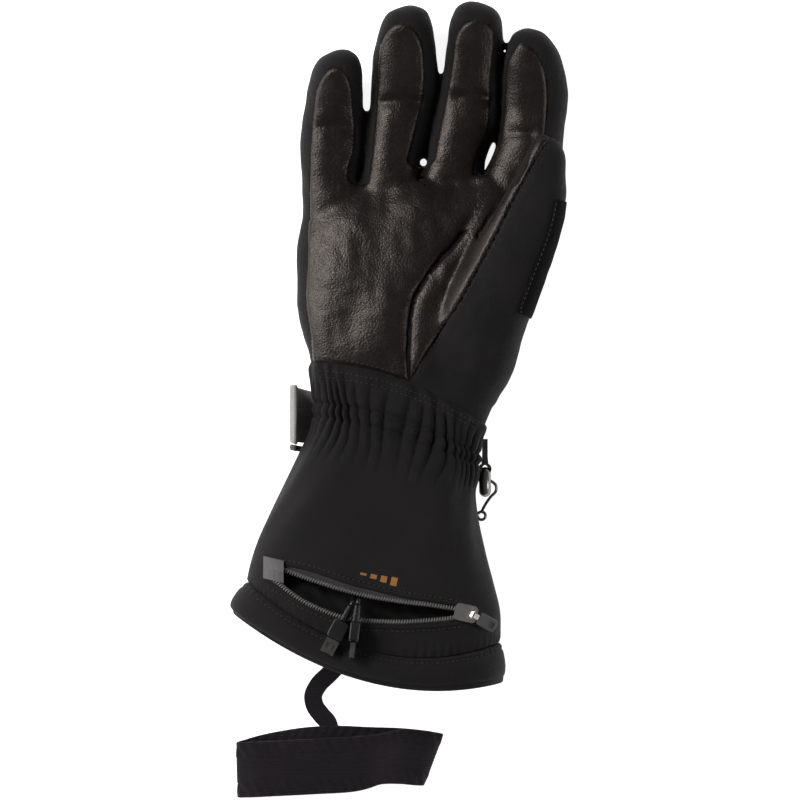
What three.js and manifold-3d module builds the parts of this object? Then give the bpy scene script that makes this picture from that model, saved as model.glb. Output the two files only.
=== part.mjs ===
// Heated winter glove for the right hand, lying on its back with the palm up.
// Millimetres. +X is the thumb side, +Y runs to the fingertips, +Z is up out of the palm.
// The origin is on the surface that the glove lies on, under the middle of the whole object.
import * as THREE from 'three';
import { mergeVertices } from 'three/addons/utils/BufferGeometryUtils.js';
import Module from 'manifold-3d';

const wasm = await Module();
wasm.setup();

// Sizes that can be set by themselves
const gap = 0.3; // clearance between neighbouring pieces
const palmWidth = 127; // across the finger roots
const palmLength = 103; // from the cuff seam to the finger roots
const palmDepth = 40; // thickness of the padded palm as it lies
const handWall = 3.2; // softshell, padding and lining together
const fingerDepth = 27;
const fingerCurl = 13; // how far the bent fingertips rise
const leatherThickness = 1.2;
const thumbLength = 138;
const thumbWidth = 45;
const thumbDepth = 35;
const thumbRise = 43; // height of the thumb's middle line over the index finger
const wristWidth = 83;
const wristDepth = 35;
const cuffLength = 109; // from the cuff seam to the hem seam
const cuffWall = 2.4;
const hemWidth = 127;
const hemDepth = 56;
const hemShift = -13.25; // the cuff leans to the little-finger side
const hemBulge = 9; // the hem band stands wider than its seam
const hemBandHeight = 16.75;
const hemWall = 2.8;
const hemSag = 19; // how far the middle of the hem hangs below its ends
const seamSlant = 31; // the thumb end of each cuff seam lies this much lower
const seamMiddle = 3.25; // where the cuff seam crosses the middle
const pleatDepth = 1.5;
const pleatCount = 26;
const strapThickness = 1.8;
const strapWidth = 30;
const strapEndWidth = 16; // it narrows to the thumb side
const zipLength = 100;
const zipGape = 12; // how far the open zip gapes
const tapeThickness = 0.9;
const coilThickness = 1.7;
const coilWidth = 2.2;
const pocketDepth = 34;
const pocketRoom = 9;
const pocketWall = 0.8;
const sliderLength = 11.5;
const sliderWidth = 8.5;
const sliderThickness = 2;
const pinRadius = 0.6;
const linkThickness = 1;
const gripLength = 11;
const gripWidth = 6.6;
const gripThickness = 2.4;
const windowLength = 3.4;
const windowWidth = 3.2;
const windowDeep = 0.7;
const cableDiameter = 2.2;
const reliefLength = 8;
const plugLength = 10;
const plugWidth = 8.4;
const plugThickness = 4.8;
const shellLength = 7.4;
const shellWidth = 6.8;
const shellThickness = 2.6;
const shellWall = 0.4;
const ringWire = 1.6;
const ringLength = 15.5;
const ringWidth = 11;
const hookWire = 1.6;
const webbingWidth = 5.2;
const webbingThickness = 0.9;
const ribbonWidth = 9;
const ribbonThickness = 0.9;
const loopBandWidth = 28;
const loopThickness = 1.4;
const loopLength = 98;

// Finish of each material
const finish = {
  softshell: { color: 0x1b1819, roughness: 0.85, metalness: 0 },
  leather: { color: 0x241e1d, roughness: 0.45, metalness: 0 },
  patch: { color: 0x151314, roughness: 0.95, metalness: 0 },
  lining: { color: 0x0c0b0c, roughness: 0.9, metalness: 0 },
  tape: { color: 0x2a2829, roughness: 0.75, metalness: 0 },
  coil: { color: 0x4a4848, roughness: 0.45, metalness: 0 },
  nickel: { color: 0xb9b4ad, roughness: 0.25, metalness: 1 },
  gunmetal: { color: 0x5d5a57, roughness: 0.3, metalness: 1 },
  rubber: { color: 0x4f4d4e, roughness: 0.6, metalness: 0 },
  plastic: { color: 0x141314, roughness: 0.5, metalness: 0 },
  greyStrap: { color: 0x6f7071, roughness: 0.7, metalness: 0 },
  elastic: { color: 0x2c232a, roughness: 0.85, metalness: 0 },
};

const glove = new THREE.Group();

// Names a closed shape, gives it its finish and puts it on the glove.
function add(name, shape, look) {
  const geometry = shape.isBufferGeometry ? shape : toGeometry(shape);
  const mesh = new THREE.Mesh(geometry, new THREE.MeshStandardMaterial(finish[look]));
  mesh.name = name;
  glove.add(mesh);
  return mesh;
}

// Keeps only positions and merges the shared vertices of a closed shape.
function closed(geometry) {
  const plain = geometry.index ? geometry.toNonIndexed() : geometry.clone();
  plain.deleteAttribute('normal');
  plain.deleteAttribute('uv');
  return mergeVertices(plain, 1e-4);
}

function toSolid(geometry) {
  const shape = closed(geometry);
  return new wasm.Manifold(
    new wasm.Mesh({
      numProp: 3,
      vertProperties: new Float32Array(shape.attributes.position.array),
      triVerts: new Uint32Array(shape.index.array),
    }),
  );
}

function toGeometry(solid) {
  const found = solid.getMesh();
  const geometry = new THREE.BufferGeometry();
  geometry.setAttribute('position', new THREE.BufferAttribute(found.vertProperties, 3));
  geometry.setIndex(new THREE.BufferAttribute(found.triVerts, 1));
  return geometry;
}

// Makes a geometry from points and triangles and turns it right side out.
function fromTriangles(points, triangles) {
  let volume = 0;
  for (const [a, b, c] of triangles) {
    volume += points[a].dot(new THREE.Vector3().crossVectors(points[b], points[c]));
  }
  const order = triangles.flatMap(([a, b, c]) => (volume > 0 ? [a, b, c] : [a, c, b]));
  const geometry = new THREE.BufferGeometry();
  geometry.setAttribute(
    'position',
    new THREE.Float32BufferAttribute(points.flatMap((p) => [p.x, p.y, p.z]), 3),
  );
  geometry.setIndex(order);
  return geometry;
}

function stitchRings(first, second, count) {
  const triangles = [];
  for (let i = 0; i < count; i += 1) {
    const next = (i + 1) % count;
    triangles.push([first + i, first + next, second + next]);
    triangles.push([first + i, second + next, second + i]);
  }
  return triangles;
}

// A solid through a row of closed sections, closed by a fan at each end.
function loft(sections) {
  const count = sections[0].length;
  const points = sections.flat();
  const triangles = [];
  for (let s = 0; s + 1 < sections.length; s += 1) {
    triangles.push(...stitchRings(s * count, (s + 1) * count, count));
  }
  const middleOf = (section) => {
    const sum = section.reduce((total, p) => total.add(p), new THREE.Vector3());
    return sum.divideScalar(count);
  };
  const start = points.push(middleOf(sections[0])) - 1;
  const end = points.push(middleOf(sections.at(-1))) - 1;
  const last = (sections.length - 1) * count;
  for (let i = 0; i < count; i += 1) {
    const next = (i + 1) % count;
    triangles.push([start, next, i]);
    triangles.push([end, last + i, last + next]);
  }
  return fromTriangles(points, triangles);
}

// The same for thin, bent sections: the second half of each runs back along the first, and the
// ends are closed straight across from one to the other.
function thinLoft(sections) {
  const count = sections[0].length;
  const triangles = [];
  for (let s = 0; s + 1 < sections.length; s += 1) {
    triangles.push(...stitchRings(s * count, (s + 1) * count, count));
  }
  const last = (sections.length - 1) * count;
  for (let i = 0; i + 1 < count / 2; i += 1) {
    const back = count - 1 - i;
    triangles.push([i + 1, i, back], [i + 1, back, back - 1]);
    triangles.push([last + i, last + i + 1, last + back], [last + i + 1, last + back - 1, last + back]);
  }
  return fromTriangles(sections.flat(), triangles);
}

// A solid through sections that come round to the first again.
function closedLoft(sections) {
  const count = sections[0].length;
  const triangles = [];
  for (let s = 0; s < sections.length; s += 1) {
    triangles.push(...stitchRings(s * count, ((s + 1) % sections.length) * count, count));
  }
  return fromTriangles(sections.flat(), triangles);
}

// An open-ended tube with a wall, between outer sections and inner sections of the same row.
function sleeve(outer, inner) {
  return closedLoft([...outer, ...[...inner].reverse()]);
}

// Cosine and sine of a rounded rectangle: a power of 2 is an ellipse, more is boxier.
function roundedPair(angle, power) {
  const bend = (value) => Math.sign(value) * Math.abs(value) ** (2 / power);
  return [bend(Math.cos(angle)), bend(Math.sin(angle))];
}

const mix = THREE.MathUtils.lerp;
const point = (x, y, z) => new THREE.Vector3(x, y, z);

// Hand and cuff share one kind of row: a slanted, sagging ring that lies on its flat back.
const sleevePower = 2.6;
const backFlat = 1.25; // the back half is this much deeper before it is flattened
const backSag = 0.35; // share of the sag that the back has

function rowPoint(row, angle, inset, push = 0) {
  const [across, up] = roundedPair(angle, sleevePower);
  const half = row.width / 2 - inset + push;
  const sag = row.sag * (up > 0 ? 1 : backSag);
  const deep = row.depth / 2;
  const reach = up > 0 ? deep - inset + push : deep * backFlat - inset;
  return point(
    row.centre + across * half,
    row.middle - (row.slant * across) / 2 + sag * (1 - across * across),
    Math.max(row.lift + inset, row.lift + deep + up * reach),
  );
}

// The angles start half a step round, so that the flat back has whole faces.
const ringAngles = (count) => Array.from({ length: count }, (_, i) => ((i + 0.5) * 2 * Math.PI) / count);

const ringOf = (row, count, inset, pleat = () => 0) =>
  ringAngles(count).map((angle, i) => rowPoint(row, angle, inset, pleat(angle, i)));

// Cuff from the hand seam to the hem seam: width and depth as shares of the way from wrist to
// hem, the rest as shares of hemShift, seamSlant, hemSag and the room for the strap.
const strapRoom = strapThickness + 2 * gap;
const cuffTable = [
  { along: 0, shift: 0.075, flare: 0.148, slant: 1.0, sag: 0.39, deep: 0.14, lift: 0.95, pleat: 0 },
  { along: 0.1, shift: 0.13, flare: 0.045, slant: 0.87, sag: 0.32, deep: 0.07, lift: 1, pleat: 0.5 },
  { along: 0.19, shift: 0.13, flare: 0, slant: 0.81, sag: 0.21, deep: 0, lift: 1, pleat: 1 },
  { along: 0.282, shift: 0.23, flare: 0.034, slant: 0.74, sag: 0.08, deep: 0.1, lift: 1, pleat: 0.5 },
  { along: 0.351, shift: 0.45, flare: 0.102, slant: 0.65, sag: 0, deep: 0.29, lift: 0.9, pleat: 0.15 },
  { along: 0.502, shift: 0.735, flare: 0.318, slant: 0.55, sag: -0.08, deep: 0.52, lift: 0.25, pleat: 0 },
  { along: 0.654, shift: 0.905, flare: 0.602, slant: 0.52, sag: -0.26, deep: 0.71, lift: 0, pleat: 0 },
  { along: 0.798, shift: 0.96, flare: 0.841, slant: 0.565, sag: -0.53, deep: 0.86, lift: 0, pleat: 0 },
  { along: 0.899, shift: 0.945, flare: 0.966, slant: 0.726, sag: -0.74, deep: 0.95, lift: 0, pleat: 0 },
  { along: 1, shift: 1, flare: 1, slant: 0.98, sag: -1, deep: 1, lift: 0, pleat: 0 },
];

function cuffRow(entry) {
  return {
    middle: seamMiddle - entry.along * cuffLength,
    centre: entry.shift * hemShift,
    width: mix(wristWidth, hemWidth, entry.flare),
    slant: entry.slant * seamSlant,
    sag: entry.sag * hemSag,
    depth: mix(wristDepth, hemDepth, entry.deep),
    lift: entry.lift * strapRoom,
    pleat: entry.pleat,
  };
}

const cuffRows = cuffTable.map(cuffRow);
const lowered = (row, drop) => ({ ...row, middle: row.middle - drop });

// A cuff row between the rows of the table, by its share of the cuff's length.
function cuffRowAt(share) {
  const index = Math.min(
    cuffTable.findLastIndex((entry) => entry.along <= share),
    cuffTable.length - 2,
  );
  const way = (share - cuffTable[index].along) / (cuffTable[index + 1].along - cuffTable[index].along);
  const from = cuffRows[index];
  const to = cuffRows[index + 1];
  return Object.fromEntries(Object.keys(from).map((key) => [key, mix(from[key], to[key], way)]));
}

// Height of the cuff's palm side over a place, from the row that passes there.
function cuffTop(x, y) {
  let low = 0;
  let high = 1;
  const acrossOf = (row) => THREE.MathUtils.clamp((x - row.centre) / (row.width / 2), -0.995, 0.995);
  for (let step = 0; step < 24; step += 1) {
    const share = (low + high) / 2;
    const row = cuffRowAt(share);
    const across = acrossOf(row);
    const rowY = row.middle - (row.slant * across) / 2 + row.sag * (1 - across * across);
    if (rowY > y) low = share;
    else high = share;
  }
  const row = cuffRowAt(low);
  const across = Math.abs(acrossOf(row));
  return row.lift + (row.depth / 2) * (1 + (1 - across ** sleevePower) ** (1 / sleevePower));
}

// Palm from the cuff seam to the finger roots, as shares of palmWidth, palmLength and palmDepth.
const palmTable = [
  { along: 0.104, centre: 0.01, width: 0.756, slant: 0.157, sag: 0.04, deep: 1.0, lift: 0.6 },
  { along: 0.248, centre: 0.024, width: 0.815, slant: 0.059, sag: 0.016, deep: 1.03, lift: 0.15 },
  { along: 0.449, centre: 0.031, width: 0.87, slant: 0.008, sag: 0, deep: 1.0, lift: 0 },
  { along: 0.655, centre: 0.068, width: 0.931, slant: -0.028, sag: 0.016, deep: 0.93, lift: 0 },
  { along: 0.874, centre: 0.101, width: 0.99, slant: -0.067, sag: 0.03, deep: 0.8, lift: 0 },
  { along: 1, centre: 0.112, width: 0.975, slant: -0.075, sag: 0.04, deep: 0.6, lift: 0 },
];

const palmRow = (entry) => ({
  middle: seamMiddle + entry.along * palmLength,
  centre: entry.centre * palmWidth,
  width: entry.width * palmWidth,
  slant: entry.slant * palmWidth,
  sag: entry.sag * palmWidth,
  depth: entry.deep * palmDepth,
  lift: entry.lift * strapRoom,
});
const seamRow = cuffRows[0];
const palmRows = palmTable.map(palmRow);

// Fingers: edges as shares of the finger's width either side of the straight line from the tip
// to the root, at shares of its length from the tip.
const fingers = {
  little: {
    tip: [-0.23, 1.667],
    root: [-0.254, 0.77],
    width: 32,
    trim: { left: 4.5, right: 5.2, tip: 8.5 },
    edges: [
      { along: 0.01, left: -0.17, right: 0.14 },
      { along: 0.035, left: -0.325, right: 0.24 },
      { along: 0.075, left: -0.42, right: 0.295 },
      { along: 0.14, left: -0.48, right: 0.325 },
      { along: 0.25, left: -0.527, right: 0.367 },
      { along: 0.54, left: -0.583, right: 0.415 },
      { along: 0.7, left: -0.575, right: 0.35 },
      { along: 0.8, left: -0.57, right: 0.5 },
      { along: 1, left: -0.545, right: 0.58 },
    ],
  },
  ring: {
    tip: [0.0256, 1.891],
    root: [-0.045, 0.77],
    width: 34,
    trim: { left: 3, right: 6.6, tip: 9.5 },
    edges: [
      { along: 0.009, left: -0.13, right: 0.15 },
      { along: 0.026, left: -0.272, right: 0.28 },
      { along: 0.056, left: -0.353, right: 0.353 },
      { along: 0.113, left: -0.412, right: 0.426 },
      { along: 0.2, left: -0.44, right: 0.5 },
      { along: 0.33, left: -0.434, right: 0.555 },
      { along: 0.567, left: -0.428, right: 0.468 },
      { along: 0.697, left: -0.443, right: 0.393 },
      { along: 0.775, left: -0.47, right: 0.4 },
      { along: 0.85, left: -0.57, right: 0.55 },
      { along: 1, left: -0.63, right: 0.62 },
    ],
  },
  middle: {
    tip: [0.2854, 1.91],
    root: [0.1594, 0.77],
    width: 32,
    trim: { left: 3.6, right: 4.2, tip: 9.8 },
    edges: [
      { along: 0.0085, left: -0.136, right: 0.177 },
      { along: 0.0255, left: -0.2375, right: 0.34 },
      { along: 0.055, left: -0.284, right: 0.473 },
      { along: 0.106, left: -0.322, right: 0.545 },
      { along: 0.19, left: -0.319, right: 0.58 },
      { along: 0.34, left: -0.312, right: 0.6 },
      { along: 0.447, left: -0.334, right: 0.645 },
      { along: 0.553, left: -0.368, right: 0.652 },
      { along: 0.732, left: -0.413, right: 0.53 },
      { along: 0.81, left: -0.5, right: 0.62 },
      { along: 1, left: -0.55, right: 0.625 },
    ],
  },
  index: {
    tip: [0.494, 1.78],
    root: [0.427, 0.77],
    width: 33,
    trim: { left: 0.6, right: 10, tip: 8 },
    edges: [
      { along: 0.007, left: -0.09, right: 0.123 },
      { along: 0.026, left: -0.19, right: 0.265 },
      { along: 0.065, left: -0.235, right: 0.395 },
      { along: 0.122, left: -0.256, right: 0.532 },
      { along: 0.2, left: -0.272, right: 0.635 },
      { along: 0.305, left: -0.262, right: 0.715 },
      { along: 0.448, left: -0.25, right: 0.736 },
      { along: 0.568, left: -0.294, right: 0.723 },
      { along: 0.703, left: -0.42, right: 0.665 },
      { along: 0.808, left: -0.535, right: 0.586 },
      { along: 1, left: -0.576, right: 0.53 },
    ],
  },
};

const onPalm = ([across, along]) => ({ x: across * palmWidth, y: seamMiddle + along * palmLength });
const creaseAt = 0.42; // the bend of a finger, as a share of its length from the tip
const tipRound = 0.52; // length over which a fingertip rounds off, as a share of its depth
const fingerPower = 2.5;
const fingerFlat = 1.12;

// One station of a finger: its two edges, its middle height and its half depth.
function fingerStation(finger, entry) {
  const tip = onPalm(finger.tip);
  const root = onPalm(finger.root);
  const axis = mix(tip.x, root.x, entry.along);
  const fromTip = (tip.y - root.y) * entry.along;
  const rounded = Math.sqrt(1 - (1 - Math.min(1, fromTip / (tipRound * fingerDepth))) ** 2);
  const curl = fingerCurl * Math.max(0, 1 - entry.along / creaseAt) ** 1.2;
  return {
    y: tip.y - fromTip,
    left: axis + entry.left * finger.width,
    right: axis + entry.right * finger.width,
    middle: fingerDepth / 2 + curl,
    half: (rounded * fingerDepth) / 2,
  };
}

function fingerSection(finger, entry, count, inset) {
  const station = fingerStation(finger, entry);
  const halfWidth = (station.right - station.left) / 2 - inset;
  const centre = (station.right + station.left) / 2;
  return ringAngles(count).map((angle) => {
    const [across, up] = roundedPair(angle, fingerPower);
    const reach = up > 0 ? station.half - inset : station.half * fingerFlat - inset;
    const z = station.middle + up * reach;
    return point(centre + across * halfWidth, station.y, Math.max(Math.max(inset, 0), z));
  });
}

// A finger grown by a distance has a cap that stands that far beyond its tip.
function fingerSolid(finger, count, inset) {
  const kept = finger.edges.filter((entry) => {
    const station = fingerStation(finger, entry);
    const narrow = Math.min(station.half, (station.right - station.left) / 2);
    return narrow > inset + 1.5;
  });
  // the lining needs only every second row
  const used = kept.filter((entry, i) => inset <= 0 || i % 2 === 0 || i === kept.length - 1);
  const sections = used.map((entry) => fingerSection(finger, entry, count, inset));
  if (inset < 0) {
    sections[0].forEach((p) => {
      p.y -= inset;
    });
  }
  return toSolid(loft(sections));
}

// Thumb: a tube folded over the palm. Columns: share of the length from the tip, sideways offset
// as a share of the width, half width, height of the middle line and half depth as shares.
const thumbTip = [0.5886, 1.2646];
const thumbRoot = [0.2776, -0.022];
const thumbTable = [
  { along: 0.02, aside: 0.017, wide: 0.122, high: 1, deep: 0.157 },
  { along: 0.057, aside: 0.039, wide: 0.185, high: 1, deep: 0.235 },
  { along: 0.12, aside: 0.05, wide: 0.238, high: 1, deep: 0.29 },
  { along: 0.215, aside: 0.067, wide: 0.3, high: 1, deep: 0.325 },
  { along: 0.347, aside: 0.038, wide: 0.385, high: 0.955, deep: 0.4 },
  { along: 0.487, aside: -0.027, wide: 0.438, high: 0.885, deep: 0.457 },
  { along: 0.63, aside: -0.078, wide: 0.467, high: 0.815, deep: 0.486 },
  { along: 0.78, aside: -0.122, wide: 0.489, high: 0.72, deep: 0.5 },
  { along: 0.91, aside: -0.122, wide: 0.49, high: 0.628, deep: 0.486 },
  { along: 1, aside: -0.089, wide: 0.39, high: 0.512, deep: 0.37 },
];
const thumbPower = 2.2;
const thumbSides = 12;

function thumbPoint(entry, angle, inset) {
  const tip = onPalm(thumbTip);
  const root = onPalm(thumbRoot);
  const line = new THREE.Vector2(tip.x - root.x, tip.y - root.y).normalize();
  const [across, up] = roundedPair(angle, thumbPower);
  const aside = entry.aside * thumbWidth + across * (entry.wide * thumbWidth - inset);
  const back = entry.along * thumbLength;
  return point(
    tip.x - line.x * back + line.y * aside,
    tip.y - line.y * back - line.x * aside,
    entry.high * thumbRise + up * (entry.deep * thumbDepth - inset),
  );
}

function thumbSolid(count, inset) {
  const kept = thumbTable.filter((entry) => entry.wide * thumbWidth > inset + 3);
  const sections = kept.map((entry) => ringAngles(count).map((angle) => thumbPoint(entry, angle, inset)));
  if (inset < 0) {
    sections[0].forEach((p) => {
      p.y -= inset;
    });
  }
  return toSolid(loft(sections));
}

// Palm solid. Its cuff end has a flat rim as wide as the wall, so that the cuff can meet it.
function palmSolid(count, inset, beyond) {
  const end = lowered(seamRow, beyond);
  const sections = [ringOf(end, count, inset), ...palmRows.map((row) => ringOf(row, count, inset))];
  if (beyond === 0) sections.unshift(ringOf(end, count, inset + handWall));
  if (inset < 0) {
    sections.at(-1).forEach((p) => {
      p.y -= inset;
    });
  }
  return toSolid(loft(sections));
}

const all = (solids) => solids.reduce((total, solid) => total.add(solid));
const fingerList = Object.values(fingers);

// The outside of the hand, grown or shrunk by an inset.
function handOutside(inset, withThumb = true) {
  const digits = fingerList.map((finger) => fingerSolid(finger, 12, inset));
  const parts = [palmSolid(22, inset, 0), ...digits];
  if (withThumb) parts.push(thumbSolid(thumbSides, inset));
  return all(parts);
}

function handInside() {
  const digits = fingerList.map((finger) => fingerSolid(finger, 8, handWall));
  return all([palmSolid(16, handWall, 4), ...digits, thumbSolid(10, handWall)]);
}

const handBody = handOutside(0);
const handWalls = handBody.subtract(handInside());
const skyHigh = thumbRise + thumbDepth;

// An upright prism over an outline in plan.
const upright = (outline, low, high) => {
  const shape = new THREE.Shape(outline.map(([x, y]) => new THREE.Vector2(x, y)));
  const depth = high - low;
  const geometry = new THREE.ExtrudeGeometry(shape, { depth, bevelEnabled: false, curveSegments: 1 });
  geometry.translate(0, 0, low);
  return toSolid(geometry);
};

// The shell is in five nodes: the palm with the thumb, and the four fingers from the cut on. Each line
// runs up between two fingers. Places are shares of the palm's width and length.
const fingerCut = 1.16;
const fingerTop = 2;
const betweenFingers = [
  [[-1, fingerCut], [-1, fingerTop]],
  [[-0.139, fingerCut], [-0.1344, 1.2554], [-0.1309, 1.4427], [-0.1336, 1.6], [-0.1509, fingerTop]],
  [[0.0974, fingerCut], [0.1149, 1.2554], [0.1388, 1.4], [0.1574, 1.5224], [0.16, fingerTop]],
  [[0.357, fingerCut], [0.3857, 1.28], [0.3969, 1.4], [0.4007, 1.5224], [0.43, fingerTop]],
  [[1, fingerCut], [1, fingerTop]],
];
const plan = (line, x = 0) => line.map(onPalm).map((place) => [place.x + x, place.y]);

// The thumb's end hangs over the index finger up to this share, and all of it is above this height.
const thumbReach = 1.36;
const thumbUnder = 29;
const thumbEnd = upright(
  plan([[0.3, 1], [1, 1], [1, thumbReach], [0.3, thumbReach]]),
  thumbUnder,
  skyHigh + thumbRise,
);

function fingerPrism(i) {
  const left = plan(betweenFingers[i], gap / 2);
  const right = plan(betweenFingers[i + 1], -gap / 2);
  const [first, ...others] = [...left, ...right.reverse()];
  const outline = [[first[0], first[1] + gap], ...others];
  outline.at(-1)[1] += gap;
  return upright(outline, -1, skyHigh).subtract(thumbEnd);
}
const pastCut = upright(
  plan([[-1, fingerCut], [1, fingerCut], [1, fingerTop], [-1, fingerTop]]),
  -1,
  skyHigh,
).subtract(thumbEnd);
add('hand_shell', handWalls.subtract(pastCut), 'softshell');
Object.keys(fingers).forEach((name, i) => {
  add(`finger_${name}`, handWalls.intersect(fingerPrism(i)), 'softshell');
});

// Leather: the part of a grown hand that an upright prism of the leather's outline cuts out.
const frontLow = 0.56 * fingerDepth;

// A finger front keeps inside the finger's edges and ends in a round top.
function frontOutline(finger) {
  const tip = onPalm(finger.tip);
  const root = onPalm(finger.root);
  const reach = tip.y - root.y;
  const topRound = 0.4 * finger.width;
  const stations = [0, 0.06, 0.2, 0.45, 0.8, 2.4, 3.6, 4.8, 6].map((k) => k * topRound);
  const left = [];
  const right = [];
  for (const down of stations.filter((value) => finger.trim.tip + value < reach)) {
    const along = (finger.trim.tip + down) / reach;
    const index = finger.edges.findLastIndex((entry) => entry.along <= along);
    const from = finger.edges[index];
    const to = finger.edges[Math.min(index + 1, finger.edges.length - 1)];
    const way = to === from ? 0 : (along - from.along) / (to.along - from.along);
    const entry = { along, left: mix(from.left, to.left, way), right: mix(from.right, to.right, way) };
    const station = fingerStation(finger, entry);
    const low = station.left + finger.trim.left;
    const high = station.right - finger.trim.right;
    const round = Math.sqrt(1 - (1 - Math.min(1, down / topRound)) ** 2);
    const middle = (low + high) / 2;
    left.push([mix(middle, low, Math.max(round, 0.04)), station.y]);
    right.push([mix(middle, high, Math.max(round, 0.04)), station.y]);
  }
  return [...left, ...right.reverse()].reverse();
}

// The curved seam round the thumb's base, then the fold between thumb and palm, from the cuff up.
const thumbSeam = [
  [0.0335, 0.06],
  [0.0295, 0.211],
  [0.0335, 0.308],
  [0.0413, 0.405],
  [0.057, 0.478],
  [0.12, 0.6],
  [0.1516, 0.648],
  [0.199, 0.706],
  [0.258, 0.803],
  [0.317, 0.94],
].map(onPalm);

// The seam of the hand on the palm side, as points from the little finger's side.
const seamPoint = (across) => [
  seamRow.centre + (across * seamRow.width) / 2,
  seamRow.middle - (seamRow.slant * across) / 2 + seamRow.sag * (1 - across * across),
];

const palmTrim = 0.031 * palmWidth;
const palmOutline = [
  ...[-0.96, -0.7, -0.4, -0.1, 0.06].map(seamPoint).map(([x, y]) => [x, y + 2 * gap]),
  ...thumbSeam.map((p) => [p.x, p.y]),
  ...[[0.45, 1.07], [0.52, 1.16], [-0.2, 1.14]].map(onPalm).map((p) => [p.x, p.y]),
  ...palmRows.slice(1, 5).reverse().map((row) => [
    row.centre - row.width / 2 + palmTrim,
    row.middle + row.slant / 2,
  ]),
];

// The outline for the palm dips to the crotch between two fingers, so it is cut there again.
const crotches = [
  { at: [-0.155, 1.018], half: 0.066 },
  { at: [0.08, 1.106], half: 0.066 },
  { at: [0.316, 1.063], half: 0.066 },
];
const crotchPrism = ({ at, half }) => {
  const base = onPalm(at);
  const wide = half * palmWidth;
  const turns = [0, 1, 2, 3, 4];
  const arc = turns.map((i) => [
    base.x - wide * Math.cos((i * Math.PI) / 4),
    base.y + wide * (1 - Math.sin((i * Math.PI) / 4)),
  ]);
  const top = onPalm([0, 1.3]).y;
  return upright([...arc, [base.x + wide, top], [base.x - wide, top]], 0, skyHigh);
};

const grown = handOutside(-gap - leatherThickness, false);
const covered = handOutside(-gap).add(handBody);
const frontPrisms = all(fingerList.map((finger) => upright(frontOutline(finger), frontLow, skyHigh)));
let palmPrism = upright(palmOutline, frontLow, skyHigh);
for (const crotch of crotches) palmPrism = palmPrism.subtract(crotchPrism(crotch));
add('palm_leather', grown.intersect(frontPrisms.add(palmPrism)).subtract(covered), 'leather');

// Thumb leather: from the curved seam to the straight seam that runs up to the thumb's tip.
const thumbFront = [
  ...thumbSeam.map((p) => [p.x + 2 * gap, p.y - gap]),
  ...[
    [0.46, 1.02],
    [0.497, 1.1],
    [0.51, 1.21],
    [0.524, 1.236],
    [0.6, 1.24],
    [0.566, 1.2],
    [0.533, 1.135],
    [0.474, 1.0],
    [0.435, 0.91],
    [0.384, 0.779],
    [0.317, 0.624],
    [0.246, 0.463],
    [0.16, 0.299],
    [0.081, 0.153],
    [0.05, 0.08],
  ].map(onPalm).map((p) => [p.x, p.y]),
];
const leatherTop = -gap - leatherThickness;
const thumbOver = all([palmSolid(22, leatherTop, 0), thumbSolid(thumbSides, leatherTop)]);
const thumbLeather = thumbOver.intersect(upright(thumbFront, 0.8 * palmDepth, skyHigh)).subtract(covered);
add('thumb_leather', thumbLeather.subtract(palmPrism), 'leather');

// Wipe patch on the outer side of the thumb.
const patchThickness = 1;
const patchStand = 2 * gap; // both are faceted, so they stand a little wider apart
const patchAngles = ringAngles(thumbSides).filter((angle) => angle < 0.9);
const patchEdge = { low: -0.45, high: 0.95 };
const patchFrom = 0.23;
const patchTo = 0.66;
function patchSection(along) {
  const index = thumbTable.findLastIndex((entry) => entry.along <= along);
  const from = thumbTable[index];
  const to = thumbTable[index + 1];
  const way = (along - from.along) / (to.along - from.along);
  const entry = Object.fromEntries(Object.keys(from).map((key) => [key, mix(from[key], to[key], way)]));
  const angles = [patchEdge.low, -patchAngles[0], ...patchAngles, patchEdge.high];
  const outer = angles.map((angle) => thumbPoint(entry, angle, -patchStand - patchThickness));
  const inner = angles.map((angle) => thumbPoint(entry, angle, -patchStand));
  return [...inner, ...outer.reverse()];
}
const patchRows = thumbTable
  .map((entry) => entry.along)
  .filter((share) => share > patchFrom && share < patchTo);
add('wipe_patch', thinLoft([patchFrom, ...patchRows, patchTo].map(patchSection)), 'patch');

// Gauntlet: softshell cuff. The elastic at the wrist draws it into pleats.
const cuffSides = 2 * pleatCount;
const pleatOf = (row) => (angle, i) => (i % 2 === 0 ? row.pleat : -row.pleat) * (pleatDepth / 2);
const rim = (row, drop) => ringOf(lowered(row, drop), cuffSides, cuffWall);
const seamGap = 2 * gap; // both sides of the seam are faceted, so they stand a little wider apart
const gauntletRows = [lowered(cuffRows[0], seamGap), ...cuffRows.slice(1)];
const gauntletOutside = toSolid(
  loft([
    rim(cuffRows[0], seamGap),
    ...gauntletRows.map((row) => ringOf(row, cuffSides, 0, pleatOf(row))),
    rim(cuffRows.at(-1), 0),
  ]),
);
const beyondEnd = 4;
const insideRows = [lowered(cuffRows[0], -beyondEnd), ...[0, 2, 4, 5, 6, 8, 9].map((i) => cuffRows[i])];
insideRows.push(lowered(cuffRows.at(-1), beyondEnd));
const gauntletInside = toSolid(loft(insideRows.map((row) => ringOf(row, 26, cuffWall))));

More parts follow.
